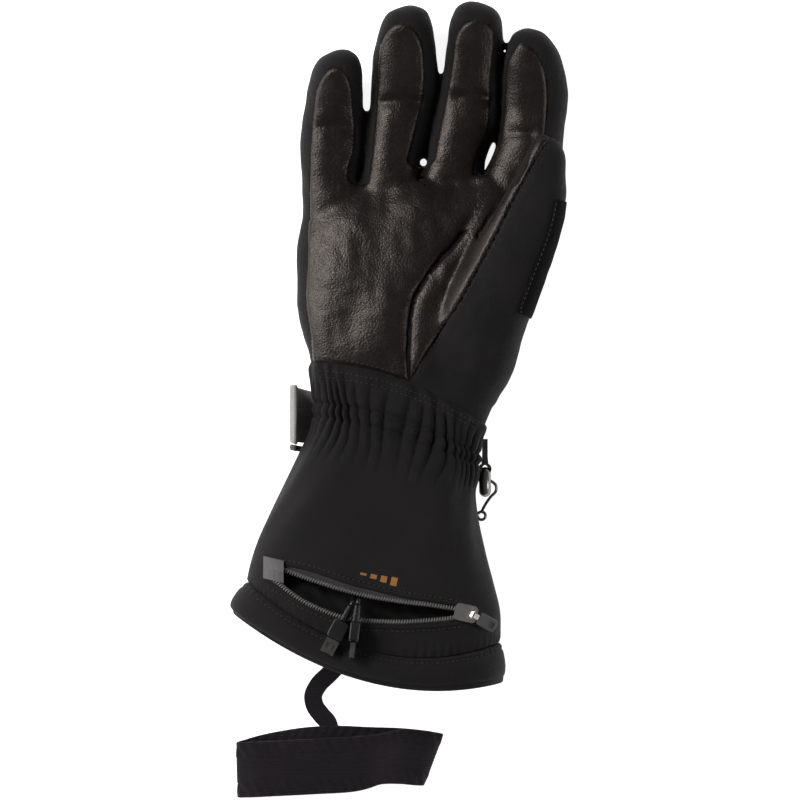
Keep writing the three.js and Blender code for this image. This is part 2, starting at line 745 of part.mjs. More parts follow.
// The open zip: its edges as shares of zipGape below the straight line of the zip.
const zipStart = { x: -64.75, y: -84 };
const zipTurn = -0.221; // the zip runs down to the thumb side
const zipTable = [
  { along: 0, fabricUp: 0.25, teethUp: 0.04, teethDown: -0.17, fabricDown: -0.54 },
  { along: 0.1, fabricUp: 0.31, teethUp: -0.02, teethDown: -0.6, fabricDown: -0.81 },
  { along: 0.2, fabricUp: 0.31, teethUp: -0.12, teethDown: -0.92, fabricDown: -1.12 },
  { along: 0.3, fabricUp: 0.23, teethUp: -0.19, teethDown: -1.1, fabricDown: -1.28 },
  { along: 0.4, fabricUp: 0.14, teethUp: -0.25, teethDown: -1.2, fabricDown: -1.42 },
  { along: 0.5, fabricUp: 0.12, teethUp: -0.27, teethDown: -1.15, fabricDown: -1.42 },
  { along: 0.6, fabricUp: 0.1, teethUp: -0.23, teethDown: -1.02, fabricDown: -1.31 },
  { along: 0.7, fabricUp: 0.11, teethUp: -0.17, teethDown: -0.85, fabricDown: -1.15 },
  { along: 0.8, fabricUp: 0.17, teethUp: -0.08, teethDown: -0.62, fabricDown: -0.94 },
  { along: 0.9, fabricUp: 0.21, teethUp: -0.02, teethDown: -0.36, fabricDown: -0.69 },
  { along: 1, fabricUp: 0.25, teethUp: 0.04, teethDown: -0.05, fabricDown: -0.38 },
];
const zipX = (along) => zipStart.x + along * zipLength * Math.cos(zipTurn);
const zipY = (along, share) => zipStart.y + along * zipLength * Math.sin(zipTurn) + share * zipGape;

// A column of the zip's table at any share of the zip's length.
function zipShare(column, along) {
  const found = zipTable.findLastIndex((entry) => entry.along <= along + 1e-9);
  const index = Math.min(found, zipTable.length - 2);
  const way = (along - zipTable[index].along) / (zipTable[index + 1].along - zipTable[index].along);
  return mix(zipTable[index][column], zipTable[index + 1][column], way);
}

// A strip on the cuff between two columns of the zip's table, of a thickness, above the cloth.
function zipStrip(upper, lower, above, thickness, from = 0, to = 1) {
  const steps = 14;
  const sections = [];
  for (let i = 0; i <= steps; i += 1) {
    const along = mix(from, to, i / steps);
    const x = zipX(along);
    const high = zipY(along, zipShare(upper.column, along)) + upper.shift;
    const low = zipY(along, zipShare(lower.column, along)) + lower.shift;
    const base = Math.min(cuffTop(x, high), cuffTop(x, low));
    sections.push([
      point(x, high, cuffTop(x, high) + above + thickness),
      point(x, low, cuffTop(x, low) + above + thickness),
      point(x, low, base + above),
      point(x, high, base + above),
    ]);
  }
  return loft(sections);
}

const edge = (column, shift) => ({ column, shift });
const slitDeep = hemDepth / 2;
const slit = toSolid(zipStrip(edge('fabricUp', 0), edge('fabricDown', 0), -slitDeep / 2, slitDeep));
add('gauntlet', gauntletOutside.subtract(gauntletInside).subtract(slit), 'softshell');

// Zip tapes fill the slit up to the coils, and lie level with the cloth.
const sunk = -tapeThickness - gap;
add(
  'zip_tape_upper',
  zipStrip(edge('fabricUp', -gap), edge('teethUp', 0), sunk, tapeThickness, 0.02, 0.98),
  'tape',
);
add(
  'zip_tape_lower',
  zipStrip(edge('teethDown', 0), edge('fabricDown', gap), sunk, tapeThickness, 0.02, 0.98),
  'tape',
);
add(
  'zip_coil_upper',
  zipStrip(edge('teethUp', coilWidth), edge('teethUp', 0), gap, coilThickness, 0.08, 0.93),
  'coil',
);
add(
  'zip_coil_lower',
  zipStrip(edge('teethDown', 0), edge('teethDown', -coilWidth), gap, coilThickness, 0.08, 0.93),
  'coil',
);

// Pocket bag: a flat pouch under the cuff's palm side, with the slit as its mouth.
const pocketDrop = cuffWall + gap + 0.8; // the cuff's faceted wall stays clear of the bag
const pocketFrom = 0.08;
const pocketTo = 0.93;
function pouch(shrink) {
  const columns = 7;
  const sections = [];
  for (let i = 0; i <= columns; i += 1) {
    const end = i === 0 ? shrink : i === columns ? -shrink : 0;
    const along = mix(pocketFrom, pocketTo, i / columns) + end / zipLength;
    const x = zipX(along);
    const far = zipY(along, 0) + pocketDepth * (0.92 - 0.12 * (2 * along - 1) ** 2) - shrink;
    const near = zipY(along, zipShare('fabricDown', along) - 0.35) + shrink;
    const plump = Math.sin(Math.PI * mix(0.08, 0.92, i / columns)) ** 0.4;
    const roof = (y) => cuffTop(x, y) - pocketDrop - shrink;
    const depth = (pocketRoom + 2 * pocketWall) * plump - 2 * shrink;
    const ways = [0, 0.2, 0.5, 0.8, 1];
    const top = ways.map((way) => mix(far, near, way)).map((y) => point(x, y, roof(y)));
    const bottom = ways.map((way) => {
      const y = mix(far, near, way);
      return point(x, y, roof(y) - depth * Math.sin(Math.PI * mix(0.1, 0.9, way)) ** 0.5);
    });
    sections.push([...top, ...bottom.reverse()]);
  }
  return toSolid(loft(sections));
}
const mouthDeep = pocketDrop + pocketWall + 1.5;
const mouth = toSolid(
  zipStrip(edge('fabricUp', -gap), edge('fabricDown', gap), -mouthDeep, 2 * mouthDeep, 0.05, 0.91),
);
add('pocket_bag', pouch(0).subtract(pouch(pocketWall)).subtract(mouth), 'lining');

// Hem band: as shares of the band's height, hemBulge, seamSlant and hemSag.
const hemTable = [
  { along: 0, bulge: 0, slant: 0.98, sag: -1, deep: 1 },
  { along: 0.37, bulge: 0.6, slant: 1.03, sag: -0.97, deep: 1.02 },
  { along: 0.75, bulge: 1, slant: 1.05, sag: -0.9, deep: 1.02 },
  { along: 1, bulge: 0.9, slant: 1.1, sag: -0.84, deep: 1 },
];
const hemRows = hemTable.map((entry) => ({
  middle: seamMiddle - cuffLength - seamGap - entry.along * hemBandHeight,
  centre: hemShift - entry.bulge * (hemBulge / 3),
  width: hemWidth + entry.bulge * hemBulge,
  slant: entry.slant * seamSlant,
  sag: entry.sag * hemSag,
  depth: entry.deep * hemDepth,
  lift: 0,
}));
add(
  'hem_band',
  sleeve(
    hemRows.map((row) => ringOf(row, 30, 0)),
    [0, 2, 3].map((i) => ringOf(hemRows[i], 30, hemWall)),
  ),
  'softshell',
);

// Zip slider with a lug, and the puller on its pin.
const sliderAlong = 1;
const sliderAt = point(zipX(sliderAlong), zipY(sliderAlong, 0), 0);
const sliderBase = cuffTop(sliderAt.x, sliderAt.y) + gap;
const pullerTurn = -0.52; // direction of the puller on the cloth
const pullerDrop = 0.5; // how steeply it lies down the cuff's side
const pinHeight = sliderThickness + 1.7;
const lugGap = 3.4;
const lugWall = 1;
const lugAhead = 0.31 * sliderLength; // the lug stands near the slider's end

function rounded(length, width, thickness, corner, bevel) {
  const shape = new THREE.Shape();
  const l = length / 2 - bevel;
  const w = width / 2 - bevel;
  shape.moveTo(-l + corner, -w);
  shape.lineTo(l - corner, -w);
  shape.absarc(l - corner, -w + corner, corner, -Math.PI / 2, 0);
  shape.lineTo(l, w - corner);
  shape.absarc(l - corner, w - corner, corner, 0, Math.PI / 2);
  shape.lineTo(-l + corner, w);
  shape.absarc(-l + corner, w - corner, corner, Math.PI / 2, Math.PI);
  shape.lineTo(-l, -w + corner);
  shape.absarc(-l + corner, -w + corner, corner, Math.PI, 1.5 * Math.PI);
  const geometry = new THREE.ExtrudeGeometry(shape, {
    depth: thickness - 2 * bevel,
    bevelEnabled: bevel > 0,
    bevelThickness: bevel,
    bevelSize: bevel,
    bevelSegments: 1,
    curveSegments: 2,
  });
  geometry.translate(0, 0, bevel - thickness / 2);
  return geometry;
}

const along = (geometry, x, y, z) => geometry.translate(x, y, z);
const pinAcross = (radius, length) => new THREE.CylinderGeometry(radius, radius, length, 10);

const lugShift = { x: lugAhead * Math.cos(zipTurn), y: lugAhead * Math.sin(zipTurn) };
const sliderPlate = toSolid(rounded(sliderLength, sliderWidth, sliderThickness, 2.2, 0).rotateZ(zipTurn));
const lugShape = [-1, 1].map((side) =>
  toSolid(
    along(
      new THREE.BoxGeometry(3.2, lugWall, pinHeight + 1),
      0,
      (side * (lugGap + lugWall)) / 2,
      pinHeight / 2,
    )
      .rotateZ(pullerTurn)
      .translate(lugShift.x, lugShift.y, 0),
  ),
);
const pin = toSolid(
  along(pinAcross(pinRadius, lugGap + lugWall), 0, 0, pinHeight)
    .rotateZ(pullerTurn)
    .translate(lugShift.x, lugShift.y, 0),
);
const slider = all([sliderPlate, ...lugShape, pin]);
const sliderHigh = sliderBase + coilThickness + sliderThickness / 2;
add('zip_slider', toGeometry(slider).translate(sliderAt.x, sliderAt.y, sliderHigh), 'nickel');

const pinAt = point(sliderAt.x + lugShift.x, sliderAt.y + lugShift.y, sliderHigh + pinHeight);
const linkLength = 5.2;
const eyeOuter = 1.5;
const eyeInner = pinRadius + gap;
const linkWide = lugGap - 2 * gap - 0.2;
const eye = toSolid(pinAcross(eyeOuter, linkWide)).subtract(toSolid(pinAcross(eyeInner, lugGap)));
const barBlock = new THREE.BoxGeometry(linkLength - eyeInner, linkWide, linkThickness);
const bar = toSolid(
  along(barBlock, (linkLength + eyeInner) / 2, 0, 0),
);
const eyeHole = toSolid(pinAcross(eyeInner, lugGap));
const pullerPlace = new THREE.Matrix4()
  .makeTranslation(pinAt)
  .multiply(new THREE.Matrix4().makeRotationZ(pullerTurn))
  .multiply(new THREE.Matrix4().makeRotationY(pullerDrop));
const link = eye.add(bar).subtract(eyeHole);
add('puller_link', toGeometry(link).applyMatrix4(pullerPlace), 'nickel');

const gripFrom = linkLength - 1.6;
const gripBlock = rounded(gripLength, gripWidth, gripThickness, 1.4, 0.4);
const gripBody = toSolid(along(gripBlock, gripFrom + gripLength / 2, 0, 0));
const gripSlot = toSolid(
  along(
    new THREE.BoxGeometry(4, linkWide + 2 * gap, linkThickness + 2 * gap),
    linkLength + gap - 2,
    0,
    0,
  ),
);
const windowBlock = rounded(windowLength, windowWidth, gripThickness, 0.5, 0);
const windowAt = gripFrom + gripLength - windowLength;
const gripWindow = toSolid(along(windowBlock, windowAt, 0, gripThickness - windowDeep));
const grip = gripBody.subtract(gripSlot).subtract(gripWindow);
add('puller_grip', toGeometry(grip).applyMatrix4(pullerPlace), 'rubber');

// Fold-over tab at the closed end of the zip.
const garageLength = 10.5;
const garageWidth = 11;
const garageThickness = 1.2;
const garageMouth = 2.6;
const garageSections = [0, 0.25, 0.5, 0.75, 1].map((way) => {
  const share = -0.035 + (way * garageLength) / zipLength;
  const x = zipX(share);
  const up = zipY(share, 0) + garageWidth / 2;
  const down = zipY(share, 0) - garageWidth / 2;
  const rise = garageMouth * Math.sin((way * Math.PI) / 2);
  const stand = (y, extra) => cuffTop(x, y) + gap + extra;
  const middle = (up + down) / 2;
  return [
    point(x, up, stand(up, garageThickness)),
    point(x, middle, stand(middle, rise + garageThickness)),
    point(x, down, stand(down, garageThickness)),
    point(x, down, stand(down, 0)),
    point(x, middle, stand(middle, rise)),
    point(x, up, stand(up, 0)),
  ];
});
add('zip_garage', thinLoft(garageSections), 'rubber');

// Charging leads out of the pocket, with their plugs lying over the lower tape.
const plugRoot = point(-24.6, -102.6, 0);
const plugPitch = 0.1; // the plugs lie tipped over the lower coil
plugRoot.z = cuffTop(plugRoot.x, plugRoot.y) + coilThickness + 2 * gap + plugThickness / 2 - 0.7;

function plugSet(letter, turn, roll, shift) {
  const place = new THREE.Matrix4()
    .makeTranslation(point(plugRoot.x + shift[0], plugRoot.y + shift[1], plugRoot.z + shift[2]))
    .multiply(new THREE.Matrix4().makeRotationZ(turn))
    .multiply(new THREE.Matrix4().makeRotationY(-plugPitch))
    .multiply(new THREE.Matrix4().makeRotationX(roll));
  const relief = [];
  const ribs = 3;
  for (let i = 0; i <= 2 * ribs; i += 1) {
    const way = i / (2 * ribs);
    const radius = mix(cableDiameter * 0.72, plugThickness * 0.45, way) - (i % 2 === 1 ? 0.35 : 0);
    const ring = ringAngles(8).map((a) => [radius * Math.cos(a), radius * Math.sin(a)]);
    relief.push(ring.map(([y, z]) => point(way * reliefLength, y, z)));
  }
  add(`relief_${letter}`, loft(relief).applyMatrix4(place), 'plastic');
  const plugBlock = rounded(plugLength, plugWidth, plugThickness, 1.2, 0.6);
  const body = along(plugBlock, reliefLength + gap + plugLength / 2, 0, 0);
  add(`plug_${letter}`, closed(body).applyMatrix4(place), 'plastic');
  const shellAt = reliefLength + 2 * gap + plugLength + shellLength / 2;
  const shellBox = toSolid(along(rounded(shellLength, shellWidth, shellThickness, 0.2, 0), shellAt, 0, 0));
  const hollowWidth = shellWidth - 2 * shellWall;
  const hollow = new THREE.BoxGeometry(shellLength, hollowWidth, shellThickness - 2 * shellWall);
  const catchBlock = () => new THREE.BoxGeometry(2.6, 1, shellThickness);
  const catchHole = (side) => along(catchBlock(), shellAt, side * 1.6, shellThickness / 2);
  const shell = shellBox
    .subtract(toSolid(along(hollow, shellAt + 1, 0, 0)))
    .subtract(toSolid(catchHole(1)))
    .subtract(toSolid(catchHole(-1)));
  add(`plug_shell_${letter}`, toGeometry(shell).applyMatrix4(place), 'nickel');
  return point(0, 0, 0).applyMatrix4(place);
}

const upwards = Math.PI / 2;
const plugTurnA = -upwards - 0.48;
const plugTurnB = -upwards - 0.12;
const endA = plugSet('a', plugTurnA, 0, [0, 0, 0]);
const endB = plugSet('b', plugTurnB, upwards, [3.6, 0.6, 1.9]);

// Routes of the two leads, from the wall of the pocket to the plugs.
const routeA = [
  [-12.5, -65.8, -6],
  [-13.3, -70, -6.8],
  [-15, -76, -8],
  [-17.4, -82, -8.3],
  [-20, -88, -7.8],
  [-22.1, -94, -5.8],
  [-23, -97.6, -3],
  [-23.5, -100, 0.8],
];
const routeB = [
  [-9, -66.8, -6],
  [-9.5, -70.4, -6.8],
  [-11, -76, -8],
  [-13.4, -82, -8.3],
  [-16.2, -88, -7.8],
  [-18.8, -94, -6.3],
  [-20, -97.6, -3.9],
  [-20.6, -100, 1.8],
];

function cable(name, route, end, turn) {
  const lifted = route.map(([x, y, under]) => point(x, y, cuffTop(x, y) + under));
  const entry = point(end.x - gap * Math.cos(turn), end.y - gap * Math.sin(turn), end.z);
  const before = point(end.x - 2.2 * Math.cos(turn), end.y - 2.2 * Math.sin(turn), end.z - 0.2);
  const curve = new THREE.CatmullRomCurve3([...lifted, before, entry]);
  const section = new THREE.Shape();
  section.absarc(0, 0, cableDiameter / 2, 0, 2 * Math.PI);
  const tube = new THREE.ExtrudeGeometry(section, { steps: 9, extrudePath: curve, curveSegments: 4 });
  add(name, closed(tube), 'plastic');
}
cable('cable_a', routeA, endA, plugTurnA);
cable('cable_b', routeB, endB, plugTurnB);

// Strap round the back of the wrist. Columns: shares of half the wrist's width and of its depth.
const strapTable = [
  { across: -1.215, high: 0.66 },
  { across: -1.265, high: 0.47 },
  { across: -1.25, high: 0.25 },
  { across: -1.12, high: 0.08 },
  { across: -0.86, high: 0 },
  { across: -0.4, high: 0 },
  { across: 0, high: 0 },
  { across: 0.4, high: 0 },
  { across: 0.8, high: 0 },
  { across: 0.94, high: 0.03 },
];
const wristRow = cuffRows[2];
const strapTurn = 0.66; // the strap lies less aslant than the wrist seam
function strapMiddle(x) {
  const across = (x - wristRow.centre) / wristRow.width;
  return wristRow.middle - strapTurn * wristRow.slant * across;
}
const strapPlace = (entry) => ({
  x: wristRow.centre + (entry.across * wristWidth) / 2,
  z: strapThickness / 2 + entry.high * wristDepth,
});

// A flat band: sections across its width at each place of its path in the upright plane.
function uprightBand(places, widths, middleAt, thickness) {
  return places.map((place, i) => {
    const before = places[Math.max(i - 1, 0)];
    const after = places[Math.min(i + 1, places.length - 1)];
    const way = new THREE.Vector2(after.x - before.x, after.z - before.z).normalize();
    const side = new THREE.Vector2(-way.y, way.x).multiplyScalar(thickness / 2);
    const middle = middleAt(place.x);
    const half = mix(widths[0], widths[1], i / (places.length - 1)) / 2;
    return [
      point(place.x + side.x, middle + half, Math.max(0, place.z + side.y)),
      point(place.x + side.x, middle - half, Math.max(0, place.z + side.y)),
      point(place.x - side.x, middle - half, Math.max(0, place.z - side.y)),
      point(place.x - side.x, middle + half, Math.max(0, place.z - side.y)),
    ];
  });
}
const strapPlaces = strapTable.map(strapPlace);
const strapBand = uprightBand(strapPlaces, [strapWidth, strapEndWidth], strapMiddle, strapThickness);
add('wrist_strap', loft(strapBand), 'greyStrap');

const trimWidth = 3;
const trimMiddle = (x) => strapMiddle(x) - strapWidth / 2 - gap - trimWidth / 2;
const trimBand = uprightBand(strapPlaces.slice(0, 4), [trimWidth, trimWidth], trimMiddle, strapThickness);
add('strap_trim', loft(trimBand), 'tape');

// Webbing loop that holds the oval ring at the thumb side of the wrist.
const wristSide = wristRow.centre + wristWidth / 2 + pleatDepth / 2;
const ringDrop = 23.7; // the ring hangs this much nearer the hem than the gathers
const ringAt = point(
  wristSide + gap + 2 * webbingThickness,
  wristRow.middle - ringDrop,
  strapRoom + 0.31 * wristDepth,
);
const ringTilt = 0.5;
const webbingTilt = 0.2;
const loopSink = 0.35; // the ring's bow sits this much above the middle of the loop's hole
const ringShape = new THREE.TorusGeometry(ringWidth / 2 - ringWire / 2, ringWire / 2, 5, 14);
ringShape.rotateY(upwards);
const ovalRing = closed(ringShape);
const ringStretch = (ringLength - ringWidth) / 2;
const ringSpots = ovalRing.attributes.position;
for (let i = 0; i < ringSpots.count; i += 1) {
  ringSpots.setY(i, ringSpots.getY(i) + ringStretch * Math.sign(Math.round(ringSpots.getY(i) * 100)));
}
add('ring', ovalRing.rotateY(ringTilt).translate(ringAt.x, ringAt.y, ringAt.z), 'gunmetal');

const loopInner = ringWire / 2 + 1.2;
const loopOuter = loopInner + webbingThickness;
const tailLength = 15;
const webbingShape = new THREE.Shape();
webbingShape.absarc(0, 0, loopOuter, upwards + 0.45, upwards - 0.45 + 2 * Math.PI);
webbingShape.lineTo(webbingThickness, loopOuter + 3);
webbingShape.lineTo(webbingThickness, tailLength);
webbingShape.lineTo(-webbingThickness, tailLength);
webbingShape.lineTo(-webbingThickness, loopOuter + 3);
const webbingHole = new THREE.Path();
webbingHole.absarc(0, 0, loopInner, 0, 2 * Math.PI);
webbingShape.holes.push(webbingHole);
const webbing = new THREE.ExtrudeGeometry(webbingShape, {
  depth: webbingWidth,
  bevelEnabled: false,
  curveSegments: 8,
});
webbing.translate(0, 0, -webbingWidth / 2);
const ringTop = ringAt.y + ringLength / 2 - ringWire / 2;
const webbingPlaced = closed(webbing).rotateY(webbingTilt);
add('webbing_loop', webbingPlaced.translate(ringAt.x, ringTop - loopSink, ringAt.z), 'tape');

// Wire hook that hangs in the ring, with an eye at its far end.
const hookRoute = [
  [-3, 0.6, 1.5],
  [0.5, 1.4, 0.6],
  [3.6, 0.2, 0],
  [5.6, -1.8, -0.4],
  [5.6, -4.4, -1],
  [3, -7.4, -2.2],
  [0.5, -11, -4],
  [-1.6, -15, -6.2],
].map(([x, y, z]) => point(ringAt.x + x, ringAt.y + y, ringAt.z + z));
const hookSection = new THREE.Shape();
hookSection.absarc(0, 0, hookWire / 2, 0, 2 * Math.PI);
const hookTube = new THREE.ExtrudeGeometry(hookSection, {
  steps: 11,
  extrudePath: new THREE.CatmullRomCurve3(hookRoute),
  curveSegments: 3,
});
const eyeRing = new THREE.TorusGeometry(2, hookWire / 2, 5, 8);
eyeRing.translate(hookRoute.at(-1).x, hookRoute.at(-1).y - 2, hookRoute.at(-1).z);
add('hook', toSolid(hookTube).add(toSolid(eyeRing)), 'gunmetal');

// Leash ribbon from inside the hem's back to the wrist loop, flat on the surface.
const ribbonLow = ribbonThickness / 2;
const ribbonHigh = hemWall + gap + ribbonThickness / 2;
const ribbonRoute = [
  { x: 59, y: 6.8, z: ribbonHigh },
  { x: 57, y: -0.2, z: ribbonHigh },
  { x: 55, y: -7.7, z: ribbonHigh },
  { x: 52, y: -14.2, z: 2.4 },
  { x: 47.5, y: -19.2, z: 1 },
  { x: 42.5, y: -24.2, z: ribbonLow },
  { x: 39.7, y: -30.2, z: ribbonLow },
  { x: 40.5, y: -34.7, z: ribbonLow },
  { x: 44, y: -39.7, z: ribbonLow },
  { x: 47, y: -43.2, z: ribbonLow },
  { x: 48.2, y: -47.7, z: ribbonLow },
  { x: 48.7, y: -53.2, z: ribbonLow },
];
const hemLeft = { x: hemRows[3].centre - hemRows[3].width / 2, y: hemRows[3].middle + 4 };

function flatBand(route, width, thickness) {
  return route.map((place, i) => {
    const before = route[Math.max(i - 1, 0)];
    const after = route[Math.min(i + 1, route.length - 1)];
    const way = new THREE.Vector2(after.x - before.x, after.y - before.y).normalize();
    const aside = new THREE.Vector2(-way.y, way.x).multiplyScalar(width / 2);
    const half = thickness / 2;
    return [
      point(place.x + aside.x, place.y + aside.y, place.z + half),
      point(place.x - aside.x, place.y - aside.y, place.z + half),
      point(place.x - aside.x, place.y - aside.y, place.z - half),
      point(place.x + aside.x, place.y + aside.y, place.z - half),
    ];
  });
}
const ribbonPlaces = ribbonRoute.map((p) => ({ x: hemLeft.x + p.x, y: hemLeft.y + p.y, z: p.z }));
add('leash_ribbon', loft(flatBand(ribbonPlaces, ribbonWidth, ribbonThickness)), 'elastic');

// Wrist loop of the leash: a closed elastic band lying flat, its thumb-side fold aslant.
// Columns: share of the loop's length, height, offset towards the hand and turn of the width.
const loopTable = [
  { along: 0.0, z: 4.2, y: 0.5, turn: -0.03 },
  { along: 0.03, z: 1.3, y: 1.5, turn: 0 },
  { along: 0.1, z: 0.7, y: 3.5, turn: 0 },
  { along: 0.25, z: 0.9, y: 6.5, turn: 0 },
  { along: 0.36, z: 1.8, y: 8, turn: 0 },
  { along: 0.45, z: 2.1, y: 8.5, turn: 0 },
  { along: 0.54, z: 1.8, y: 8.6, turn: 0 },
  { along: 0.66, z: 0.9, y: 8, turn: 0.05 },
  { along: 0.82, z: 0.7, y: 7.5, turn: 0.15 },
  { along: 0.94, z: 1.6, y: 6.5, turn: 0.28 },
  { along: 1.0, z: 6, y: 5.7, turn: 0.36 },
  { along: 0.95, z: 10.4, y: 6.3, turn: 0.3 },
  { along: 0.85, z: 11.6, y: 7.5, turn: 0.16 },
  { along: 0.77, z: 10, y: 7, turn: 0.24 },
  { along: 0.7, z: 8.4, y: 5, turn: 0.2 },
  { along: 0.6, z: 8.8, y: 3.6, turn: 0.05 },
  { along: 0.4, z: 9.2, y: 2.4, turn: 0 },
  { along: 0.2, z: 8.8, y: 1.4, turn: 0 },
  { along: 0.06, z: 7.4, y: 0.7, turn: -0.03 },
];
const loopFrom = { x: hemLeft.x - 1, y: hemLeft.y - 67.5 };
const loopPlaces = loopTable.map((entry) => ({
  x: loopFrom.x + 3 + entry.along * loopLength,
  y: loopFrom.y + entry.y,
  z: entry.z,
  turn: entry.turn,
}));
const loopSections = loopPlaces.map((place, i) => {
  const before = loopPlaces.at(i - 1);
  const after = loopPlaces[(i + 1) % loopPlaces.length];
  const way = new THREE.Vector2(after.x - before.x, after.z - before.z).normalize();
  const out = new THREE.Vector2(way.y, -way.x).multiplyScalar(loopThickness / 2);
  const half = loopBandWidth / 2;
  const lean = Math.sin(place.turn) * half;
  const tall = Math.cos(place.turn) * half;
  return [
    point(place.x + lean + out.x, place.y + tall, Math.max(0, place.z + out.y)),
    point(place.x - lean + out.x, place.y - tall, Math.max(0, place.z + out.y)),
    point(place.x - lean - out.x, place.y - tall, place.z - out.y),
    point(place.x + lean - out.x, place.y + tall, place.z - out.y),
  ];
});
add('leash_loop', closedLoft(loopSections), 'elastic');

// The origin goes under the middle of the whole.
const extent = new THREE.Box3().setFromObject(glove);
glove.position.set(-(extent.min.x + extent.max.x) / 2, -(extent.min.y + extent.max.y) / 2, 0);

export default glove;
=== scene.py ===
import math

import bpy
import numpy as np
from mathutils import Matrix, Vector
from mathutils.geometry import delaunay_2d_cdt


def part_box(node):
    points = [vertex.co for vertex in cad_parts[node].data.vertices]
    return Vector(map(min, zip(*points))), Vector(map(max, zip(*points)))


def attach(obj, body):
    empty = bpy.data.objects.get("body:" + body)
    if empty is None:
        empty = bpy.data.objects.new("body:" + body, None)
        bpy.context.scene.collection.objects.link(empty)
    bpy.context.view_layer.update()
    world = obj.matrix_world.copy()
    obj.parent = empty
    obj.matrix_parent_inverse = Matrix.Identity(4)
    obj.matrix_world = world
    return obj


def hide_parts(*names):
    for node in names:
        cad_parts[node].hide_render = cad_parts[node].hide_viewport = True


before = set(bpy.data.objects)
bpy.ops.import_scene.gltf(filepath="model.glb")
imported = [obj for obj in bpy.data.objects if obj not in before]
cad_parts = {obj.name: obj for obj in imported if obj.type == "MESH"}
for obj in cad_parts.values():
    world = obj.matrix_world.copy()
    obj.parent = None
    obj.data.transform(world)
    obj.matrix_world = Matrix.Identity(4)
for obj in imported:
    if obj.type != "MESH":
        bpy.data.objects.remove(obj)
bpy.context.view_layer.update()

# The set: a pale floor under the glove, the camera straight above it as in the photograph, and soft
# studio light from large lamps. The glove's own sizes are in millimetres, laid on the frame's origin.
MM = 0.001
LAID_AT = np.array([0.333, 0.556, 0.0])  # from the middle of the palm's width to the frame's origin
PHOTO_WIDTH = 0.4  # metres of glove across the picture
CAMERA_HEIGHT = 4.0
GLOVE_MIDDLE = 0.03  # height at which the picture has its scale
PALE_FLOOR = (0.95, 0.95, 0.95, 1)
FLOOR_LEVEL = -0.0004
RESTS_AT = 0.02  # least height of a piece over the table, in millimetres

scene = bpy.context.scene
scene.view_settings.view_transform = "Standard"
camera_data = bpy.data.cameras.new("camera")
camera_data.sensor_width = 36
camera_data.lens = 36 * (CAMERA_HEIGHT - GLOVE_MIDDLE) / PHOTO_WIDTH
camera = bpy.data.objects.new("camera", camera_data)
camera.location = (LAID_AT[0] * MM, LAID_AT[1] * MM, CAMERA_HEIGHT)
scene.collection.objects.link(camera)
scene.camera = camera


def lamp(name, size, power, place, target=(0, 0, 0.02)):
    """A square soft lamp of that size and power, turned to the target."""
    data = bpy.data.lights.new(name, "AREA")
    data.size = size
    data.energy = power
    light = bpy.data.objects.new(name, data)
    light.location = place
    light.rotation_euler = (Vector(target) - Vector(place)).to_track_quat("-Z", "Y").to_euler()
    scene.collection.objects.link(light)


lamp("top_lamp", 0.42, 20, (-1.05, 0.7, 1.1))
lamp("left_lamp", 0.6, 11, (-1.3, 0.1, 0.7))
lamp("right_lamp", 0.5, 6, (1.25, -0.35, 0.65))
scene.world = bpy.data.worlds.new("studio")
scene.world.use_nodes = True
scene.world.node_tree.nodes["Background"].inputs["Color"].default_value = (1, 1, 1, 1)
scene.world.node_tree.nodes["Background"].inputs["Strength"].default_value = 0.13

floor_mesh = bpy.data.meshes.new("floor")
floor_corners = [(x, y, FLOOR_LEVEL) for x, y in ((-6, -6), (6, -6), (6, 6), (-6, 6))]
floor_mesh.from_pydata(floor_corners, [], [(0, 1, 2, 3)])
floor = bpy.data.objects.new("floor", floor_mesh)
scene.collection.objects.link(floor)
floor_paint = bpy.data.materials.new("floor_paint")
floor_paint.use_nodes = True
floor_look = {
    "Base Color": PALE_FLOOR, "Roughness": 0.9, "Emission Color": PALE_FLOOR, "Emission Strength": 0.92,
}
for socket, value in floor_look.items():
    floor_paint.node_tree.nodes["Principled BSDF"].inputs[socket].default_value = value
floor_mesh.materials.append(floor_paint)


# The charging leads: two thin limp leads out of the open pocket, each with a ribbed strain relief, a
# moulded plug and its plated shell. They lie over the zip's lower coil.
LEAD_DIAMETER = 2.2
LEAD_SIDES = 16
LEAD_STEPS = 30
LEAD_A = [
    (-12.5, -65.8, 42.7), (-13.3, -70.0, 42.6), (-15.0, -76.0, 42.4), (-17.4, -82.0, 43.1),
    (-20.0, -88.0, 44.5), (-22.1, -94.0, 47.4), (-23.0, -97.6, 50.7), (-23.5, -100.0, 54.8),
    (-23.6, -100.6, 58.1), (-24.5, -102.3, 58.3),
]
LEAD_B = [
    (-9.0, -66.8, 42.8), (-9.5, -70.4, 42.6), (-11.0, -76.0, 42.3), (-13.4, -82.0, 43.0),
    (-16.2, -88.0, 44.5), (-18.8, -94.0, 46.9), (-20.0, -97.6, 49.8), (-20.6, -100.0, 55.8),
    (-20.7, -99.8, 60.0), (-21.0, -101.7, 60.2),
]


def through(knots, values, at):
    """A smooth curve through the values at the knots: cubic pieces with the neighbours' slopes."""
    knots = np.asarray(knots, float)
    values = np.asarray(values, float)
    slopes = np.gradient(values, knots)
    i = np.clip(np.searchsorted(knots, at, side="right") - 1, 0, len(knots) - 2)
    wide = knots[i + 1] - knots[i]
    t = np.clip((at - knots[i]) / wide, 0, 1)
    start = (1 + 2 * t) * (1 - t) ** 2 * values[i] + t * (1 - t) ** 2 * wide * slopes[i]
    end = t * t * (3 - 2 * t) * values[i + 1] + t * t * (t - 1) * wide * slopes[i + 1]
    return start + end


def at_share(table, share):
    """The other columns of a table at shares of its first one."""
    first, *others = table
    return {name: through(table[first], table[name], share) for name in others}


